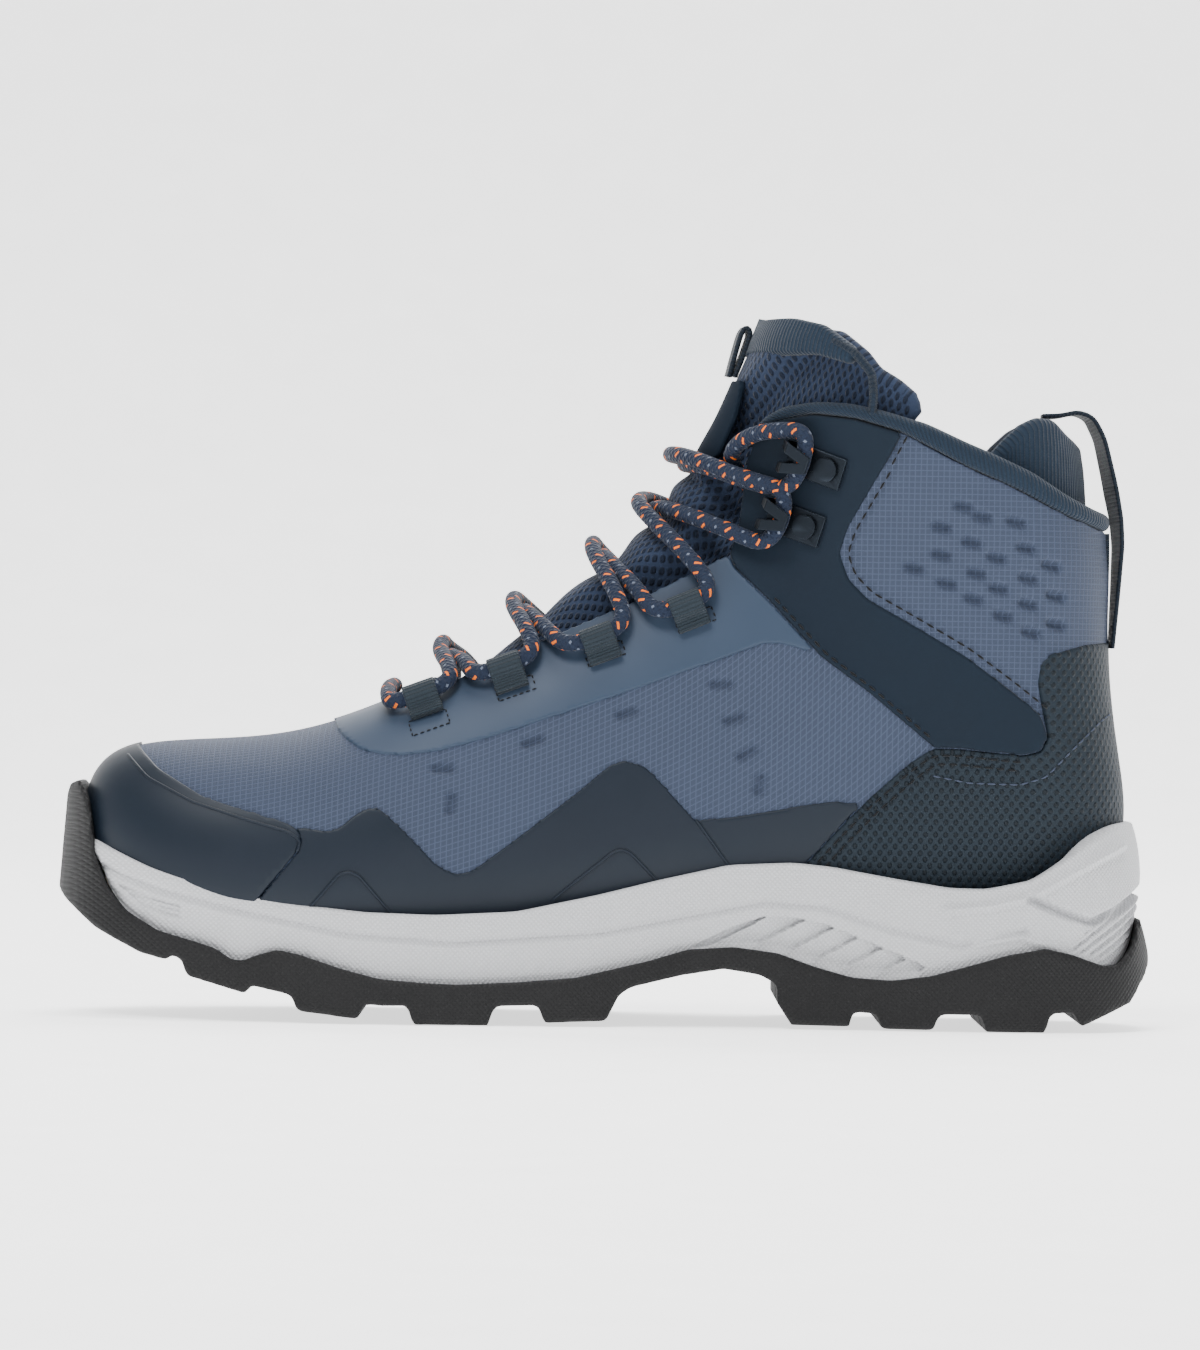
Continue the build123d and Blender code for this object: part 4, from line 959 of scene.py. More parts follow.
def tongue_mesh():
    # Its holes are darkened: painted shade.
    return finish_for("tongue mesh", tuple(colours().tongue), 0.75, "Open mesh", pattern_and_shade_share=0.85,
                      bump=0.0006,
                      sheen=0.07, specular=0.12, Pitch=0.0027, Slant=0.75, Hole=0.36)


def webbing(name="loop webbing"):
    colour = colours().loops if name == "loop webbing" else colours().strap
    # Its rib grooves are darkened: painted shade.
    return finish_for(name, tuple(colour), 0.65, "Webbing rib", pattern_and_shade_share=0.55, bump=0.0003, sheen=0.06,
                      Pitch=0.0011, Thread=0.0007)


def label_film():
    return finish_for("label film", tuple(colours().toe_film), 0.8, grain=0.0004, bump=0.00003, specular=0.04)


def thread(name, colour):
    return finish_for(name, tuple(colour), 0.6, grain=0.0003, bump=0.00005, sheen=0.06)


def gunmetal(name="hook gunmetal"):
    return finish_for(name, tuple(colours().metal), 0.36, grain=0.0004, bump=0.00002, metallic=0.85,
                      wear=tuple(min(c * 3.5, 1) for c in colours().metal), wear_share=0.6, uneven=0.15)


def lace_braid():
    return finish_for("lace braid", tuple(colours().lace), 0.68, "Braid", groove=tuple(colours().lace_fleck),
                      pattern_and_shade_share=1.0,
                      wear=tuple(colours().lace_line), bump=0.0004, sheen=0.07, specular=0.12,
                      Pitch=0.0017, Repeat=0.0092)


def outsole_rubber():
    # Its knurl grooves are darkened: painted shade.
    return finish_for("outsole rubber", tuple(colours().outsole), 0.72, "Knurl", coords="Object",
                      pattern_and_shade_share=0.3,
                      grain=0.0005, bump=0.00016, wear=tuple(c * 3 for c in colours().outsole),
                      wear_share=0.4,
                      specular=0.35, Pitch=0.0016)


def midsole_foam():
    # Its knurl grooves are darkened: painted shade.
    return finish_for("midsole foam", tuple(colours().midsole), 0.62, "Knurl", coords="Object",
                      pattern_and_shade_share=0.3,
                      grain=0.0006, bump=0.0002, uneven=0.03, specular=0.20, Pitch=0.0014)


def plain_finish(name, colour, roughness, metallic=0.0):
    return finish_for(name, srgb(*colour), roughness, grain=0.0008, bump=0.00008, metallic=metallic)


# ------------------------------------------------------------------ pieces

def swelling(amount, reach=9.0, marks=()):
    """A puff that grows from a panel's edges, with dents or lumps (place, angle, half, wide, rise) on it."""
    def lift(points, away):
        rise = amount * soft_step(away, 0, reach)
        for x, z, angle, half, wide, height in marks:
            rise = rise + height * capsule(points[:, 0], points[:, 2], (x, z), angle, half, wide)
        return rise
    return lift


def fabric_panels():
    """The vamp, quarters and collar panels, with their pressed dents."""
    material = ripstop()
    marks = [(x, z, a, 2.0, 1.5, -1.9) for x, z, a in QUARTER_DENTS]
    lower = panel("lower_ripstop", LOWER, (-1, 1), FABRIC_BASE, 1.4, roll=0.5, style="foot", cell=1.0,
                  swell=swelling(0.6, 13, marks))
    finish_piece(lower, material, "boot", ("vamp", "toe_puff", "vamp_interlining",
                                                      "medial_quarter", "lateral_quarter", "medial_foam",
                                                      "lateral_foam"))
    for name, side in SIDES:
        lumps = [(x, z, -14, 1.5, 1.5, -1.9) for x, z in COLLAR_DENTS]
        collar = panel(f"{name}_collar_fabric", COLLAR_PANEL, (side,), FABRIC_BASE, 1.4, roll=0.5,
                       swell=swelling(0.9, 14, lumps), style="shaft", cell=0.85)
        finish_piece(collar, material, "boot", (f"{name}_collar_panel",))


def linings():
    material = lining_mesh()
    vamp = panel("vamp_lining_cloth", VAMP, (-1, 1), LINING_BASE, 3.0, roll=0.5, cell=2.6, style="foot",
                 inward=True)
    finish_piece(vamp, material, "boot", ("vamp_lining",))
    for name, side in SIDES:
        cloth = panel(f"{name}_lining_cloth", REAR, (side,), LINING_BASE, 3.0, roll=0.5, cell=2.4,
                      inward=True)
        finish_piece(cloth, material, "boot",
                     (f"{name}_lining", "heel_counter") if side < 0 else (f"{name}_lining",))


def overlays():
    """Toe cap, rands, eyestay, ankle straps and heel panel."""
    film, blue, strap, heel = toe_film(), eyestay_film(), strap_microfibre(), heel_weave()
    cap = panel("toe_cap_film", TOE_CAP, (-1, 1), OVERLAY_BASE, 1.75, roll=0.7, style="foot", cell=1.2)
    finish_piece(cap, film, "boot", ("toe_cap",))
    stay = panel("eyestay_film", EYESTAY, (-1, 1), OVERLAY_BASE, 1.6, roll=0.7, cell=1.1)
    finish_piece(stay, blue, "boot", ("eyestay",))
    back = panel("heel_panel_weave", HEEL_PANEL, (-1, 1), OVERLAY_BASE, 1.9, roll=1.0, wrap="back",
                 style="shaft",
                 cell=1.2)
    finish_piece(back, heel, "boot", ("heel_panel",))
    for name, side in SIDES:
        rand = panel(f"{name}_rand_film", RAND, (side,), OVERLAY_BASE, 1.55, roll=0.6, cell=0.9)
        finish_piece(rand, film, "boot", (f"{name}_rand",))
        ankle = panel(f"{name}_ankle_strap_film", ANKLE_STRAP, (side,), OVERLAY_BASE, 1.85, roll=0.8,
                      cell=1.1)
        finish_piece(ankle, strap, "boot", (f"{name}_ankle_strap",))


TRIANGLE_ONE = [(-83, 29), (-81.2, 30.9), (-72.6, 41), (-69.7, 41.6), (-67.2, 40.5), (-57.7, 29.6),
                (-56, 27.6)]
TRIANGLE_TWO = [(-14, 34), (-11.9, 36.1), (3.1, 48.2), (5.7, 48.8), (7.9, 47.7), (15.7, 39.7), (18, 37)]
RAND_SEAM = [(25.6, 57.5), (35.4, 44.2), (37, 42)]
HEEL_WELT = [(91.3, 70.6), (101.2, 68.8), (115.4, 68.5), (122.7, 70.6), (131.3, 79.5), (138.8, 86.7),
             (142, 88.8)]
LOOP_BOXES = [(-48.9, 83), (-25.1, 93), (-0.3, 103), (24.7, 112.8)]


def trims():
    """Raised welding lines, and the stitching of the straps, heel panel and loops."""
    lines = [(line, side, 0.12) for _, side in SIDES
             for line in (TRIANGLE_ONE, TRIANGLE_TWO, RAND_SEAM, CAP_LINE[1:8])]
    ridge("rand_lines", lines, 0.42, toe_film(), "boot")
    dark, light = thread("dark thread", colours().thread), thread("heel thread", colours().ripstop)
    rear = inset(STRAP_REAR[5:14], -2.2)
    front = inset(STRAP_FRONT[2:], 1.6)
    upper = inset(STRAP_REAR[13:], -1.6)
    rows = [(line, side, 0.35) for _, side in SIDES for line in (rear, front, upper)]
    seam("strap_stitching", rows, dark, "strap_microfibre", length=sizes().stitch, gap=1.0, radius=0.34)
    top = HEEL_TOP[:9]
    rows = [(inset(top, depth), side, 0.4) for depth in (-2.0, -4.4) for _, side in SIDES]
    seam("heel_stitching", rows, dark, "heel_weave", length=sizes().stitch, gap=1.0, radius=0.34)
    seam("heel_welt_stitching", [(HEEL_WELT, side, 0.4) for _, side in SIDES], light, "heel_weave",
         length=sizes().stitch, gap=0.8, radius=0.26)
    boxes = []
    for index, (x, z) in enumerate(LOOP_BOXES):
        run = unit(np.array(LOOPS[min(index + 1, 3)]) - np.array(LOOPS[max(index - 1, 0)]))
        across = np.array([-run[1], run[0]])
        corners = [np.array((x, z)) + run * a + across * b for a,
                   b in ((-5.5, 2), (5.5, 2), (5.5, -2), (-5.5, -2))]
        for a, b in zip(corners, corners[1:] + corners[:1]):
            boxes += [([tuple(a), tuple((a + b) / 2), tuple(b)], side, 0.12) for _, side in SIDES]
    seam("loop_stitching", boxes, dark, "eyestay_film", length=1.3, gap=0.6, radius=0.22)


def strip(name, line, across, width, thick, material, body, replaces=(), twist=None):
    """Webbing swept along points, closed and round edged, with its width along a direction that may turn."""
    line = np.asarray(line, float)
    far = distances(line)
    at = np.linspace(0, far[-1], max(int(far[-1] / 0.8), 6))
    path = resampled(line, far, at)
    for _ in range(3):
        path[1:-1] = (path[:-2] + 2 * path[1:-1] + path[2:]) / 4
    run = unit(np.gradient(path, axis=0))
    across = np.broadcast_to(across, path.shape)
    if twist is not None:
        across = across + np.stack([np.interp(at / far[-1], *twist), 0 * at, 0 * at], 1)
    side = unit(across - run * (run * across).sum(1)[:, None])
    up = np.cross(run, side)
    w, t = width / 2, thick / 2
    profile = [(-w, 0), (-w + 0.3 * t, t * 0.8), (-w + t, t)]
    profile += [(x, t) for x in np.linspace(-w + 2 * t, w - 2 * t, 7)]
    profile += [(w - t, t), (w - 0.3 * t, t * 0.8), (w, 0)]
    profile += [(x, -y) for x, y in profile[-2:0:-1]]
    wide, high = np.transpose(profile)[:, None, :, None]
    verts = (path[:, None] + side[:, None] * wide + up[:, None] * high).reshape(-1, 3)
    uv = np.array([(at[i], p[0]) for i in range(len(path)) for p in profile]) * MM
    piece = make_mesh(name, verts, sleeve(len(path), len(profile)), uv)
    return finish_piece(piece, material, body, replaces)


BINDING_CENTRE, BINDING_HALF = -2.9, 3.55


def binding_roll():
    """The knit binding, rolled over the collar's edge from the throat round the heel and back to it."""
    low = rounded([(40.2, 162.6), (42.4, 167.2)] + COLLAR[1:], 3.0, closed=False)
    high = rounded(COLLAR_EDGE, 3.0, closed=False)
    share = np.linspace(0, 1, 240)
    pairs = []
    for line in (low, high):
        far = distances(line)
        pairs.append(resampled(line, far, share * far[-1]))
    halves = []
    for _, side in SIDES:
        bottom, out = on_last(*pairs[0].T, side, BINDING_CENTRE)
        top, _ = on_last(*pairs[1].T, side, BINDING_CENTRE)
        keep = find(*((pairs[0] + pairs[1]) / 2).T, side)[2] < 0.995
        rows = np.stack([(bottom + top) / 2, (top - bottom) / 2, out * BINDING_HALF], 1)[keep]
        halves.append(rows if side < 0 else rows[::-1])
    rows = np.concatenate(halves)
    rows[:, 1] *= np.clip(np.minimum(np.arange(len(rows)), np.arange(len(rows))[::-1]) / 4 + 0.25, 0, 1)[:,
                                                                                                         None]
    turn = np.linspace(0, 2 * np.pi, 22, endpoint=False)
    c, s = np.cos(turn), np.sin(turn)
    c, s = np.sign(c) * np.abs(c) ** 0.8, np.sign(s) * np.abs(s) ** 0.8
    verts = rows[:, None, 0] + rows[:, None, 1] * c[None, :, None] + rows[:, None, 2] * s[None, :, None]
    count = len(turn)
    across = np.abs(np.arange(count) - count / 2) * 0.9
    uv = np.stack(np.broadcast_arrays(distances(rows[:, 0])[:, None], across[None, :]), -1) * MM
    return make_mesh("collar_binding_roll", verts.reshape(-1, 3), sleeve(len(rows), count), uv.reshape(-1, 2))


def collar_and_heel():
    """Binding round the collar, the padded heel and its pull strap."""
    cloth = knit()
    finish_piece(binding_roll(), cloth, "boot", ("collar_binding",))
    puff = panel("heel_pad_outside", HEEL_PAD_LINE, (-1, 1), PAD_SPLIT, 2.8, roll=2.8, wrap="back",
                 style="shaft", cell=1.3, swell=swelling(0.3, 6))
    finish_piece(puff, cloth, "boot", ("heel_pad",))
    ribbed = panel("heel_pad_inside", HEEL_PAD_LINE, (-1, 1), PAD_SPLIT, 3.0, roll=3.0, wrap="back",
                   style="shaft", cell=1.4, swell=swelling(0.4, 8), inward=True)
    finish_piece(ribbed, lining_mesh(), "boot")
    line = np.array([(x, 0, z) for x, z in rounded(HEEL_STRAP, 2.0, closed=False)])
    strip("heel_pull_webbing", line, np.array([0, 1.0, 0]), 14.0, 1.25, webbing("pull webbing"), "boot",
          ("heel_pull_strap",), twist=([0, 0.2, 0.45, 1], [0, -0.14, -0.2, 0]))


def tongue_level(points, away):
    """How far the tongue stands off its back: full in the throat, and puffed between the lace's crossings."""
    x, z = points[:, 0], points[:, 2]
    crown = rounded(TONGUE_CROWN, 2.0)
    near = nearest(points[:, (0, 2)], crown)
    gap = np.linalg.norm(points[:, (0, 2)] - crown[near], axis=1)
    gap = np.where(inside(points[:, (0, 2)], crown), gap, 0)
    rise = 7.0 * soft_step(gap, 0, 6.5)
    ring, _, _ = find(x, z, 1)
    rings = find(np.array([p[0] for p in CROSSINGS]), np.array([p[1] for p in CROSSINGS]), 1)[0]
    phase = np.interp(ring, rings, np.arange(len(rings)))
    wave = 0.5 - 0.5 * np.cos(2 * np.pi * phase)
    puff = np.where((ring > rings[0]) & (ring < rings[-1]), wave * 1.8 - 0.3, 0.6)
    puff = puff * soft_step(gap, 2, 10)
    return rise + puff


def tongue_pieces():
    """The padded tongue with its label, ribbed cuff and pull tab."""
    cloth = tongue_mesh()
    front = panel("tongue_front", TONGUE_LINE, (-1, 1), TONGUE_SPLIT, 2.8, roll=2.6, cell=1.1, style="tongue",
                  swell=tongue_level)
    finish_piece(front, cloth, "tongue", ("tongue", "tongue_base"))
    back = panel("tongue_back", TONGUE_LINE, (-1, 1), TONGUE_SPLIT, 3.0, roll=2.8, cell=2.0, style="tongue",
                 inward=True)
    finish_piece(back, lining_mesh(), "tongue")
    cuff = panel("tongue_cuff", TONGUE_CUFF, (-1, 1), -3.0, 3.3, roll=1.2, cell=1.0, style="tongue",
                 swell=swelling(0.4, 3))
    finish_piece(cuff, knit(), "tongue")
    lobe = [(72.4, 170), (72.8, 176), (72.2, 182), (67.5, 187.6), (61, 191.3)]
    ridge("tongue_piping", [(lobe, side, -0.6) for _, side in SIDES], 1.3, knit(), "tongue")
    label = panel("tongue_label_film", LABEL_LINE, (-1, 1), -0.4, 1.1, roll=0.5, cell=1.0)
    finish_piece(label, label_film(), "tongue", ("tongue_label",))
    line = np.array([(x, 0, z) for x, z in rounded(TONGUE_TAB, 0.8, closed=False, step=0.3)])
    strip("tongue_pull_webbing", line, np.array([0, 1.0, 0]), 7.8, 1.5, webbing("pull webbing"), "tongue_tab",
          ("tongue_pull_tab",), twist=([0, 1], [-0.1, -0.1]))


def loop_frame(index, side):
    """The origin and axes of a loop's place: along the row, across it and outward."""
    (x, z), places = LOOPS[index], np.array(LOOPS)
    run = unit(places[min(index + 1, 3)] - places[max(index - 1, 0)])
    spot, out = on_last(x, z, side, 3.85)
    ends = [on_last(x + step * run[0], z + step * run[1], side)[0] for step in (-0.5, 0.5)]
    ahead = ends[1] - ends[0]
    along = unit(ahead - out * (ahead @ out))
    return spot, along, np.cross(out, along), out


LOOP_RADIUS = 3.15


def hardware():
    """Lace loops of webbing, the hooks and their rivets."""
    material = webbing()
    for name, side in SIDES:
        for index in range(len(LOOPS)):
            spot, along, across, out = loop_frame(index, side)
            local = [(6.2, -3.2), (4.5, -3.2), (2.5, -3.2)]
            local += [(-LOOP_RADIUS * np.sin(t), -LOOP_RADIUS * np.cos(t))
                      for t in np.radians(np.arange(12, 300, 12))]
            local += [(3.9, -1.7), (5.2, -2.15), (6.4, -2.2)]
            line = np.array([spot + across * (side * y) + out * z for y, z in local])
            strip(f"{name}_loop_webbing_{index + 1}", line, along, 9.4, 0.95, material, "boot",
                  (f"{name}_lace_loop_{index + 1}",))
    for node in [f"{name}_hook_{i}" for name, _ in SIDES for i in (1, 2)] + ["hook_rivets"]:
        softened(node, gunmetal("rivet gunmetal" if "rivets" in node else "hook gunmetal"),
                 0.35 if "rivets" in node else 0.28)


def copied(node, name):
    """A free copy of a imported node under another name."""
    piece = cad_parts[node].copy()
    piece.data = piece.data.copy()
    piece.name, piece.parent = name, None
    bpy.context.scene.collection.objects.link(piece)
    return piece


def softened(node, material, edge):
    """A copy of a hard node with its edges broken by a small bevel."""
    piece = copied(node, f"{node}_formed")
    run_modifier(piece, "WELD", merge_threshold=0.00002)
    run_modifier(piece, "BEVEL", width=edge * MM, segments=2, limit_method="ANGLE",
                 angle_limit=np.radians(35))
    piece.data.polygons.foreach_set("use_smooth", [True] * len(piece.data.polygons))
    run_modifier(piece, "WEIGHTED_NORMAL")
    return finish_piece(piece, material, "boot", (node,))


def run_modifier(piece, kind, **values):
    """Puts a modifier on a piece, and keeps its result as the piece's own mesh."""
    modifier = piece.modifiers.new(kind.lower(), kind)
    for name, value in values.items():
        setattr(modifier, name, value)
    bpy.context.view_layer.update()
    result = bpy.data.meshes.new_from_object(piece.evaluated_get(bpy.context.evaluated_depsgraph_get()))
    piece.modifiers.remove(modifier)
    piece.data = result


def lace():
    """The lace along its whole way, from one tucked end to the other."""
    curve = bpy.data.curves.new("lace_way", "CURVE")
    curve.dimensions = "3D"
    spline = curve.splines.new("NURBS")
    spline.points.add(len(LACE_ROUTE) - 1)
    for point, place in zip(spline.points, LACE_ROUTE):
        point.co = (*(np.array(place) * MM), 1.0)
    spline.order_u = 3
    spline.use_endpoint_u = True
    spline.resolution_u = 10
    way = bpy.data.objects.new("lace_way", curve)
    bpy.context.scene.collection.objects.link(way)
    bpy.context.view_layer.update()
    line = bpy.data.meshes.new_from_object(way)
    places = np.array([v.co for v in line.vertices]) / MM
    bpy.data.objects.remove(way)
    steps = np.linalg.norm(np.diff(places, axis=0), axis=1)
    places = places[np.concatenate([[True], steps > 0.05])]
    far = distances(places)
    at = np.linspace(0, far[-1], int(far[-1] / 0.9))
    smooth = resampled(places, far, at)
    piece = tube_mesh("lace_cord", smooth, sizes().lace / 2 / MM, 20)
    finish_piece(piece, lace_braid(), "boot", ("lace",))


# ------------------------------------------------------------------ the sole

MIDSOLE_TOP = [(-151, 49), (-143, 48.6), (-138, 46.4), (-125, 41.4), (-105.3, 35.6), (-85.4, 31.7),
               (-65.6, 29.8), (-45.8, 29.3), (-23.2, 30.5), (-0.6, 35.4), (16, 39.7), (35.4, 44.2),
               (53, 45.1), (63.7, 44.1), (80, 41.3), (96.4, 38.8), (107, 38.7), (120, 41.4), (128.5, 46.4),
               (137.2, 51.9), (146.7, 57.1), (151.5, 57.5)]
OUTSOLE_LINE = [(-151, 44.6), (-141.6, 44.6), (-137.5, 35.9), (-132, 29.5), (-123, 24.3), (-112, 21.4),
                (-106.7, 19.8), (-102.4, 17), (-99.3, 16.5), (-94.8, 18.3), (-89.5, 19.8), (-83, 18.5),
                (-72, 15), (-61.3, 12.3), (-50, 11.4), (-39.5, 11), (-23.4, 11.8), (-7, 13.2), (13.3, 18.1),
                (24, 21.4), (37, 22.2), (49, 20.7), (59, 17.2), (69.6, 14.3), (80.4, 13.6), (91.4, 15),
                (102, 18), (113, 21.2), (123.5, 23.1), (131, 21.5), (140, 18.3), (144.2, 18.6),
                (148.4, 23.5), (151.5, 32.3)]
SOLE_PLAN = [(-147, -22, 5), (-138, -35, 18), (-122, -44.5, 32), (-100, -50.5, 43), (-78, -53.5, 48.5),
             (-55, -54, 51), (-30, -51, 51), (0, -45, 47.5), (35, -40.5, 43.5), (70, -39.5, 42),
             (100, -40.5, 41.5), (125, -38, 38.5), (142, -28, 28)]
SOLE_TOE, SOLE_HEEL = (-151.0, -9.0), (151.5, 0.0)
SOLE_POINTS, SOLE_ROWS = 1400, 84
WALL_DRAFT = 2.6 / 75  # how far the foam's wall leans in for each millimetre of height


def sole_outline():
    """The sole's plan as an even closed loop of points, with the outward direction at each."""
    ring = [SOLE_TOE, *[(x, y) for x, y, _ in SOLE_PLAN], SOLE_HEEL, *[(x, y) for x, _, y in SOLE_PLAN[::-1]]]
    around = np.array(ring + ring + ring, float)
    curve = natural_cubic(around)
    line = curve(np.linspace(len(ring), 2 * len(ring), 4001))
    far = distances(line)
    at = np.linspace(0, far[-1], SOLE_POINTS, endpoint=False)
    line = resampled(line, far, at)
    run = unit(np.roll(line, -1, 0) - np.roll(line, 1, 0))
    return line, np.stack([run[:, 1], -run[:, 0]], 1)


def line_height(points):
    smooth = rounded(points, 4.0, closed=False)
    return lambda x: np.interp(x, smooth[:, 0], smooth[:, 1])


def bead(x, z, points, wide):
    """1 along a side-view line and 0 beyond a width from it."""
    line = rounded(points, 1.0, closed=False)
    gap = np.full(x.shape, 1e3)
    for a, b in zip(line[:-1], line[1:]):
        run = b - a
        share = np.clip(((x - a[0]) * run[0] + (z - a[1]) * run[1]) / max((run**2).sum(), 1e-9), 0, 1)
        gap = np.minimum(gap, np.hypot(x - a[0] - share * run[0], z - a[1] - share * run[1]))
    return np.clip(1 - gap / wide, 0, 1)


ARCH = [(25, 22), (36, 27.5), (45, 30.8), (54, 30.6), (63, 28.6), (76, 23.5), (90, 17.5), (84, 12), (60, 14),
        (44, 19)]
HEEL_RIBS = [(128, 22), (150.7, 40.5), (154, 38), (154, 17), (141, 16.5)]


def sole_relief(x, z, low, high):
    """How far the midsole's sculpting stands out from its wall, in millimetres."""
    share = (z - low) / np.maximum(high - low, 1)
    spot = np.stack([x, z], -1)
    rise = 0.9 * np.sin(np.pi * np.clip(share, 0, 1)) ** 0.7
    crease = [(-139, 41.5), (-122, 35.5), (-100, 30.2), (-70, 24.4), (-40, 22.5), (0, 25.5), (30, 31.5),
              (45, 34.6), (62, 33.6), (80, 27.8), (100, 23.6), (118, 28)]
    rise = rise - 1.3 * bead(x, z, crease, 1.5)
    for shift in (0, 2.6, 5.2):
        groove = [(-134 + shift, 36.5 - 0.8 * shift), (-126 + shift, 33.4 - 0.8 * shift),
                  (-117, 31.2 - 0.5 * shift)]
        rise = rise - 1.2 * bead(x, z, groove, 0.9)
    within = inside(spot, rounded(ARCH, 1.0))
    saw = ((0.47 * x - 0.88 * z) / 5.6) % 1.0
    rise = np.where(within, rise - 0.3 - 2.0 * saw, rise)
    rise = rise + 1.4 * bead(x, z, [(96, 33.5), (108, 34.8), (119, 37.5), (136, 47), (146, 52)], 1.8)
    rise = rise - 3.0 * bead(x, z, [(119, 37), (128, 33.2), (136.8, 30.6), (144, 34), (152, 39.5)], 1.6)
    rise = rise + 1.2 * bead(x, z, [(104, 24.5), (116, 26.5), (127, 22.5)], 1.6)
    ribs = inside(spot, rounded(HEEL_RIBS, 0.8))
    across = -0.616 * x + 0.788 * z
    rise = np.where(ribs, rise - 1.6 + 1.6 * np.abs(np.sin(np.pi * across / 2.1)), rise)
    return rise * soft_step(share, 0.02, 0.14) * (1 - soft_step(share, 0.92, 1.0))


def midsole():
    """The foam sole wall with its sculpted grooves, facets and ribs."""
    line, out = sole_outline()
    low, high = line_height(OUTSOLE_LINE)(line[:, 0]) - 0.8, line_height(MIDSOLE_TOP)(line[:, 0])
    rows = []
    for share in np.linspace(0, 1, SOLE_ROWS):
        z = low + (high - low) * share
        rise = sole_relief(line[:, 0], z, low, high) - WALL_DRAFT * z
        rise = rise + 1.2 * np.exp(-((line[:, 0] - 148) / 8) ** 2) * np.sin(np.pi * share)
        rise = rise + 1.9 * np.exp(-((line[:, 0] + 124) / 20) ** 2) * soft_step(share, 0.0, 0.8)
        rows.append(np.column_stack([line + out * rise[:, None], z]))
    lip = [(0.55, 0.5), (1.6, 0.75), (5.5, 0.4), (9.0, -1.0)]
    for back, up in lip:
        rows.append(np.column_stack([line - out * (back + WALL_DRAFT * high)[:, None], high + up]))
    rows.append(np.column_stack([line - out * 9.0, low + 0.5]))
    rows.append(np.column_stack([line - out * 2.0, low - 0.4]))
    count, total = len(line), len(rows)
    verts = np.concatenate(rows)
    faces = [[i * count + j, i * count + (j + 1) % count, (i + 1) % total * count + (j + 1) % count,
              (i + 1) % total * count + j] for i in range(total) for j in range(count)]
    piece = make_mesh("midsole_foam", verts, faces)
    finish_piece(piece, midsole_foam(), "boot", ("midsole",))


def outsole():
    """The rubber tread and toe bumper with their edges eased."""
    piece = copied("outsole", "outsole_rubber")
    run_modifier(piece, "REMESH", mode="VOXEL", voxel_size=1.0 * MM, use_smooth_shade=True)
    run_modifier(piece, "SMOOTH", factor=0.5, iterations=3)
    piece.data.polygons.foreach_set("use_smooth", [True] * len(piece.data.polygons))
    finish_piece(piece, outsole_rubber(), "boot", ("outsole",))


def inner_parts():
    """Finishes of the footbed, lasting board and shank."""
    for node, name, colour, rough, metal in (
            ("footbed", "footbed cloth", (44, 50, 60), 0.85, 0),
            ("insole_board", "board", (150, 140, 122), 0.8, 0),
            ("shank", "shank steel", (140, 142, 146), 0.35, 0.9)):
        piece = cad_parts[node]
        piece.data.materials.clear()
        piece.data.materials.append(plain_finish(name, colour, rough, metal))


# ------------------------------------------------------------------ stage

# Where the camera stands, and the lamps as name, place, diameter and power, all in metres and watts
CAMERA_PLACE = (-0.00166, -2.121, 0.09707)
LIT_PLACE = Vector((0, 0, 0.08))
LAMPS = [("key", (-0.45, -1.0, 1.6), 0.8, 30), ("fill", (1.4, -1.6, 0.7), 1.2, 8),
         ("top", (0.1, 0.1, 1.9), 0.9, 26), ("back", (0.3, 1.4, 1.5), 1.2, 26)]


def stage():
    """Pale floor and backdrop, soft lights and the camera at standing distance from the inner side."""
    pale = plain_finish("backdrop paper", (245, 245, 245), 0.95)
    shader = pale.node_tree.nodes["Principled BSDF"]
    shader.inputs["Emission Color"].default_value = (1, 1, 1, 1)
    shader.inputs["Emission Strength"].default_value = 1.5
    verts = []
    profile = [(-4.0, 0), (1.6, 0)] + [(1.6 + 1.2 * np.sin(t), 1.2 - 1.2 * np.cos(t))
                                       for t in np.linspace(0.1, np.pi / 2, 12)] + [(2.8, 4.0)]
    for y, z in profile:
        verts += [(-5, y, z), (5, y, z)]
    faces = [[2 * i, 2 * i + 1, 2 * i + 3, 2 * i + 2] for i in range(len(profile) - 1)]
    sweep = make_mesh("backdrop", np.array(verts) / MM, faces)
    sweep.location.z = -0.0002
    sweep.data.materials.append(pale)
    camera_data = bpy.data.cameras.new("camera")
    camera_data.lens, camera_data.sensor_width = 200, 36
    camera_data.clip_start, camera_data.clip_end = 0.05, 50
    camera = bpy.data.objects.new("camera", camera_data)
    camera.location = CAMERA_PLACE
    camera.rotation_mode = "QUATERNION"
    roll = Euler((0, 0, np.radians(sizes().roll_degrees))).to_quaternion()
    camera.rotation_quaternion = Euler((np.pi / 2, 0, 0)).to_quaternion() @ roll
    bpy.context.scene.collection.objects.link(camera)
    bpy.context.scene.camera = camera
    for name, place, size, power in LAMPS:
        light = bpy.data.lights.new(name, "AREA")
        light.shape, light.size, light.energy = "DISK", size, power * sizes().light
        lamp = bpy.data.objects.new(name, light)
        lamp.location = place
        lamp.rotation_mode = "QUATERNION"
        lamp.rotation_quaternion = (LIT_PLACE - Vector(place)).to_track_quat("-Z", "Y")
        bpy.context.scene.collection.objects.link(lamp)
    world = bpy.data.worlds.new("studio")
    world.use_nodes = True
    world.node_tree.nodes["Background"].inputs[0].default_value = (0.84, 0.85, 0.86, 1)
    world.node_tree.nodes["Background"].inputs[1].default_value = 0.55
    bpy.context.scene.world = world


# ------------------------------------------------------------------ add-on

def colour_setting(name, *values, description):
    return bpy.props.FloatVectorProperty(name=name, description=description, subtype="COLOR", size=3, min=0,
                                         max=1,
                                         default=srgb(*values))


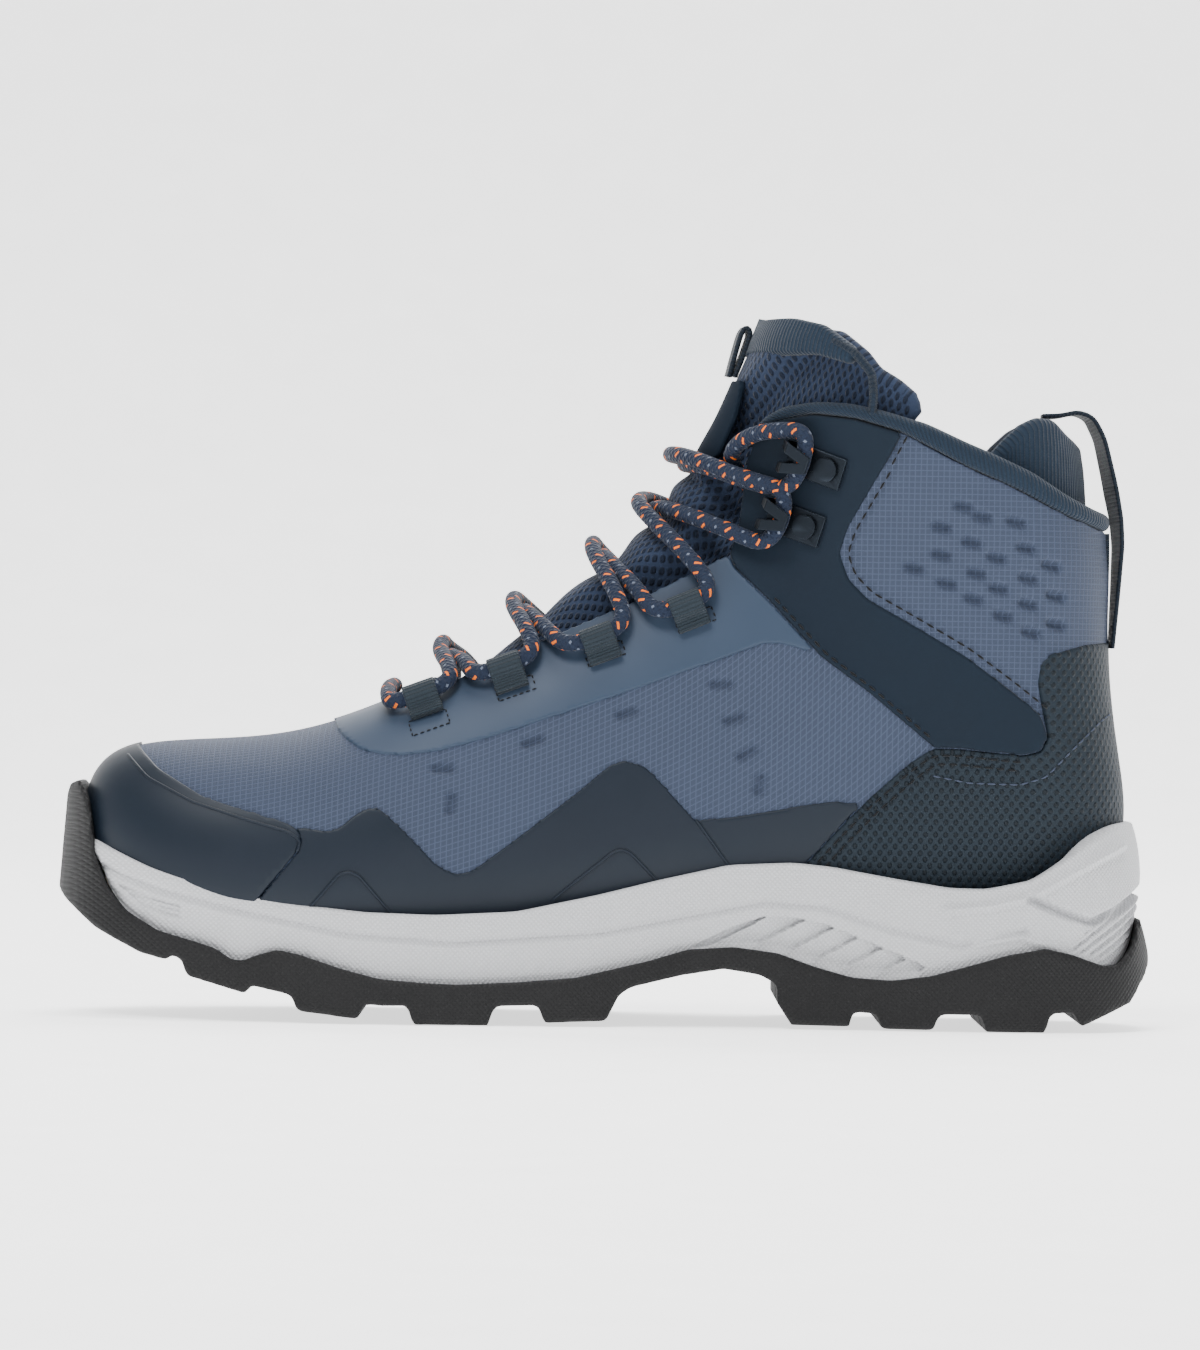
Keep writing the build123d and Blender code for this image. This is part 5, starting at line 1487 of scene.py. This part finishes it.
class BootColours(bpy.types.PropertyGroup):
    ripstop: colour_setting("Ripstop", 53, 61, 78, description="Woven vamp, quarters and collar")
    toe_film: colour_setting("Toe film", 20, 28, 38, description="Toe cap and rands")
    eyestay_film: colour_setting("Eyestay film", 48, 60, 77, description="Eyestay under the lace loops")
    strap: colour_setting("Ankle strap", 18, 28, 39, description="Ankle straps and pull webbing")
    heel_weave: colour_setting("Heel weave", 20, 31, 40, description="Woven panel round the heel")
    lining: colour_setting("Lining", 24, 32, 44, description="Mesh lining")
    knit: colour_setting("Knit", 30, 41, 54, description="Collar binding, cuff and heel pad")
    tongue: colour_setting("Tongue", 42, 52, 72, description="Open mesh of the tongue")
    loops: colour_setting("Loops", 30, 40, 48, description="Webbing lace loops")
    lace: colour_setting("Lace", 29, 37, 54, description="Ground colour of the lace")
    lace_fleck: colour_setting("Lace fleck", 224, 108, 26, description="Flecks in the lace")
    lace_line: colour_setting("Lace line", 92, 100, 116, description="Pale threads in the lace")
    thread: colour_setting("Thread", 6, 9, 14, description="Stitching thread")
    metal: colour_setting("Hook metal", 30, 35, 41, description="Hooks and rivets")
    midsole: colour_setting("Midsole", 198, 199, 202, description="Foam midsole")
    outsole: colour_setting("Outsole", 8, 8, 10, description="Rubber outsole")


class BootSizes(bpy.types.PropertyGroup):
    lace: bpy.props.FloatProperty(name="Lace diameter", description="Diameter of the round lace",
                                  default=0.0046,
                                  min=0.003, max=0.006, unit="LENGTH", precision=4)
    stitch: bpy.props.FloatProperty(name="Stitch length", description="Length of one stitch, in millimetres",
                                    default=2.3, min=1.0, max=5.0)
    yarn: bpy.props.FloatProperty(name="Yarn pitch", description="Distance between yarns of the ripstop",
                                  default=0.0004, min=0.0002, max=0.002, unit="LENGTH", precision=5)
    ripstop_cell: bpy.props.FloatProperty(name="Ripstop cell",
                                          description="Distance between reinforcing yarns",
                                          default=0.0016, min=0.001, max=0.01, unit="LENGTH", precision=4)
    roll_degrees: bpy.props.FloatProperty(name="Camera roll", description="Roll of the camera, in degrees",
                                          default=0.97, min=-10, max=10)
    light: bpy.props.FloatProperty(name="Light", description="Factor on the power of all the lamps",
                                   default=1.0,
                                   min=0.1, max=5)


class BOOT_OT_stage(bpy.types.Operator):
    """Put up the backdrop, the soft lights and the camera"""
    bl_idname, bl_label = "boot.stage", "Stage"

    def execute(self, context):
        stage()
        return {"FINISHED"}


class BOOT_OT_lace(bpy.types.Operator):
    """Lay the braided lace along its way through loops and hooks"""
    bl_idname, bl_label = "boot.lace", "Lace"

    def execute(self, context):
        lace()
        return {"FINISHED"}


class BOOT_OT_fabric(bpy.types.Operator):
    """Make the ripstop vamp, quarters and collar panels"""
    bl_idname, bl_label = "boot.fabric", "Fabric panels"

    def execute(self, context):
        fabric_panels()
        return {"FINISHED"}


class BOOT_OT_linings(bpy.types.Operator):
    """Make the mesh lining of the vamp and both sides"""
    bl_idname, bl_label = "boot.linings", "Linings"

    def execute(self, context):
        linings()
        return {"FINISHED"}


class BOOT_OT_overlays(bpy.types.Operator):
    """Make the toe cap, rands, eyestay, ankle straps and heel panel"""
    bl_idname, bl_label = "boot.overlays", "Overlays"

    def execute(self, context):
        overlays()
        return {"FINISHED"}


class BOOT_OT_trims(bpy.types.Operator):
    """Make the raised welding lines and the stitching"""
    bl_idname, bl_label = "boot.trims", "Lines and stitching"

    def execute(self, context):
        trims()
        return {"FINISHED"}


class BOOT_OT_collar(bpy.types.Operator):
    """Make the collar binding, heel pad and heel pull strap"""
    bl_idname, bl_label = "boot.collar", "Collar and heel"

    def execute(self, context):
        collar_and_heel()
        return {"FINISHED"}


class BOOT_OT_tongue(bpy.types.Operator):
    """Make the padded tongue, its cuff, label and pull tab"""
    bl_idname, bl_label = "boot.tongue", "Tongue"

    def execute(self, context):
        tongue_pieces()
        return {"FINISHED"}


class BOOT_OT_hardware(bpy.types.Operator):
    """Make the lace loops, hooks and rivets"""
    bl_idname, bl_label = "boot.hardware", "Loops and hooks"

    def execute(self, context):
        hardware()
        return {"FINISHED"}


class BOOT_OT_sole(bpy.types.Operator):
    """Make the midsole and outsole, and finish the parts inside"""
    bl_idname, bl_label = "boot.sole", "Sole"

    def execute(self, context):
        midsole()
        outsole()
        inner_parts()
        return {"FINISHED"}


OPERATORS = (BOOT_OT_stage, BOOT_OT_lace, BOOT_OT_fabric, BOOT_OT_linings, BOOT_OT_overlays, BOOT_OT_trims,
             BOOT_OT_collar, BOOT_OT_tongue, BOOT_OT_hardware, BOOT_OT_sole)


class BOOT_PT_pieces(bpy.types.Panel):
    """Sizes, colours and pieces of the boot"""
    bl_idname, bl_label = "BOOT_PT_pieces", "Hiking boot"
    bl_space_type, bl_region_type, bl_category = "VIEW_3D", "UI", "Boot"

    def draw(self, context):
        for group in (context.scene.boot_sizes, context.scene.boot_colours):
            box = self.layout.box()
            for name in group.__annotations__:
                box.prop(group, name)
        for operator in OPERATORS:
            self.layout.operator(operator.bl_idname)


def register():
    for item in (BootColours, BootSizes, *OPERATORS, BOOT_PT_pieces):
        bpy.utils.register_class(item)
    bpy.types.Scene.boot_colours = bpy.props.PointerProperty(type=BootColours)
    bpy.types.Scene.boot_sizes = bpy.props.PointerProperty(type=BootSizes)


def unregister():
    del bpy.types.Scene.boot_sizes, bpy.types.Scene.boot_colours
    for item in (BOOT_PT_pieces, *OPERATORS[::-1], BootSizes, BootColours):
        bpy.utils.unregister_class(item)


def main():
    register()
    for operator in OPERATORS:
        getattr(bpy.ops.boot, operator.bl_idname.split(".")[1])()


if __name__ == "__main__":
    main()
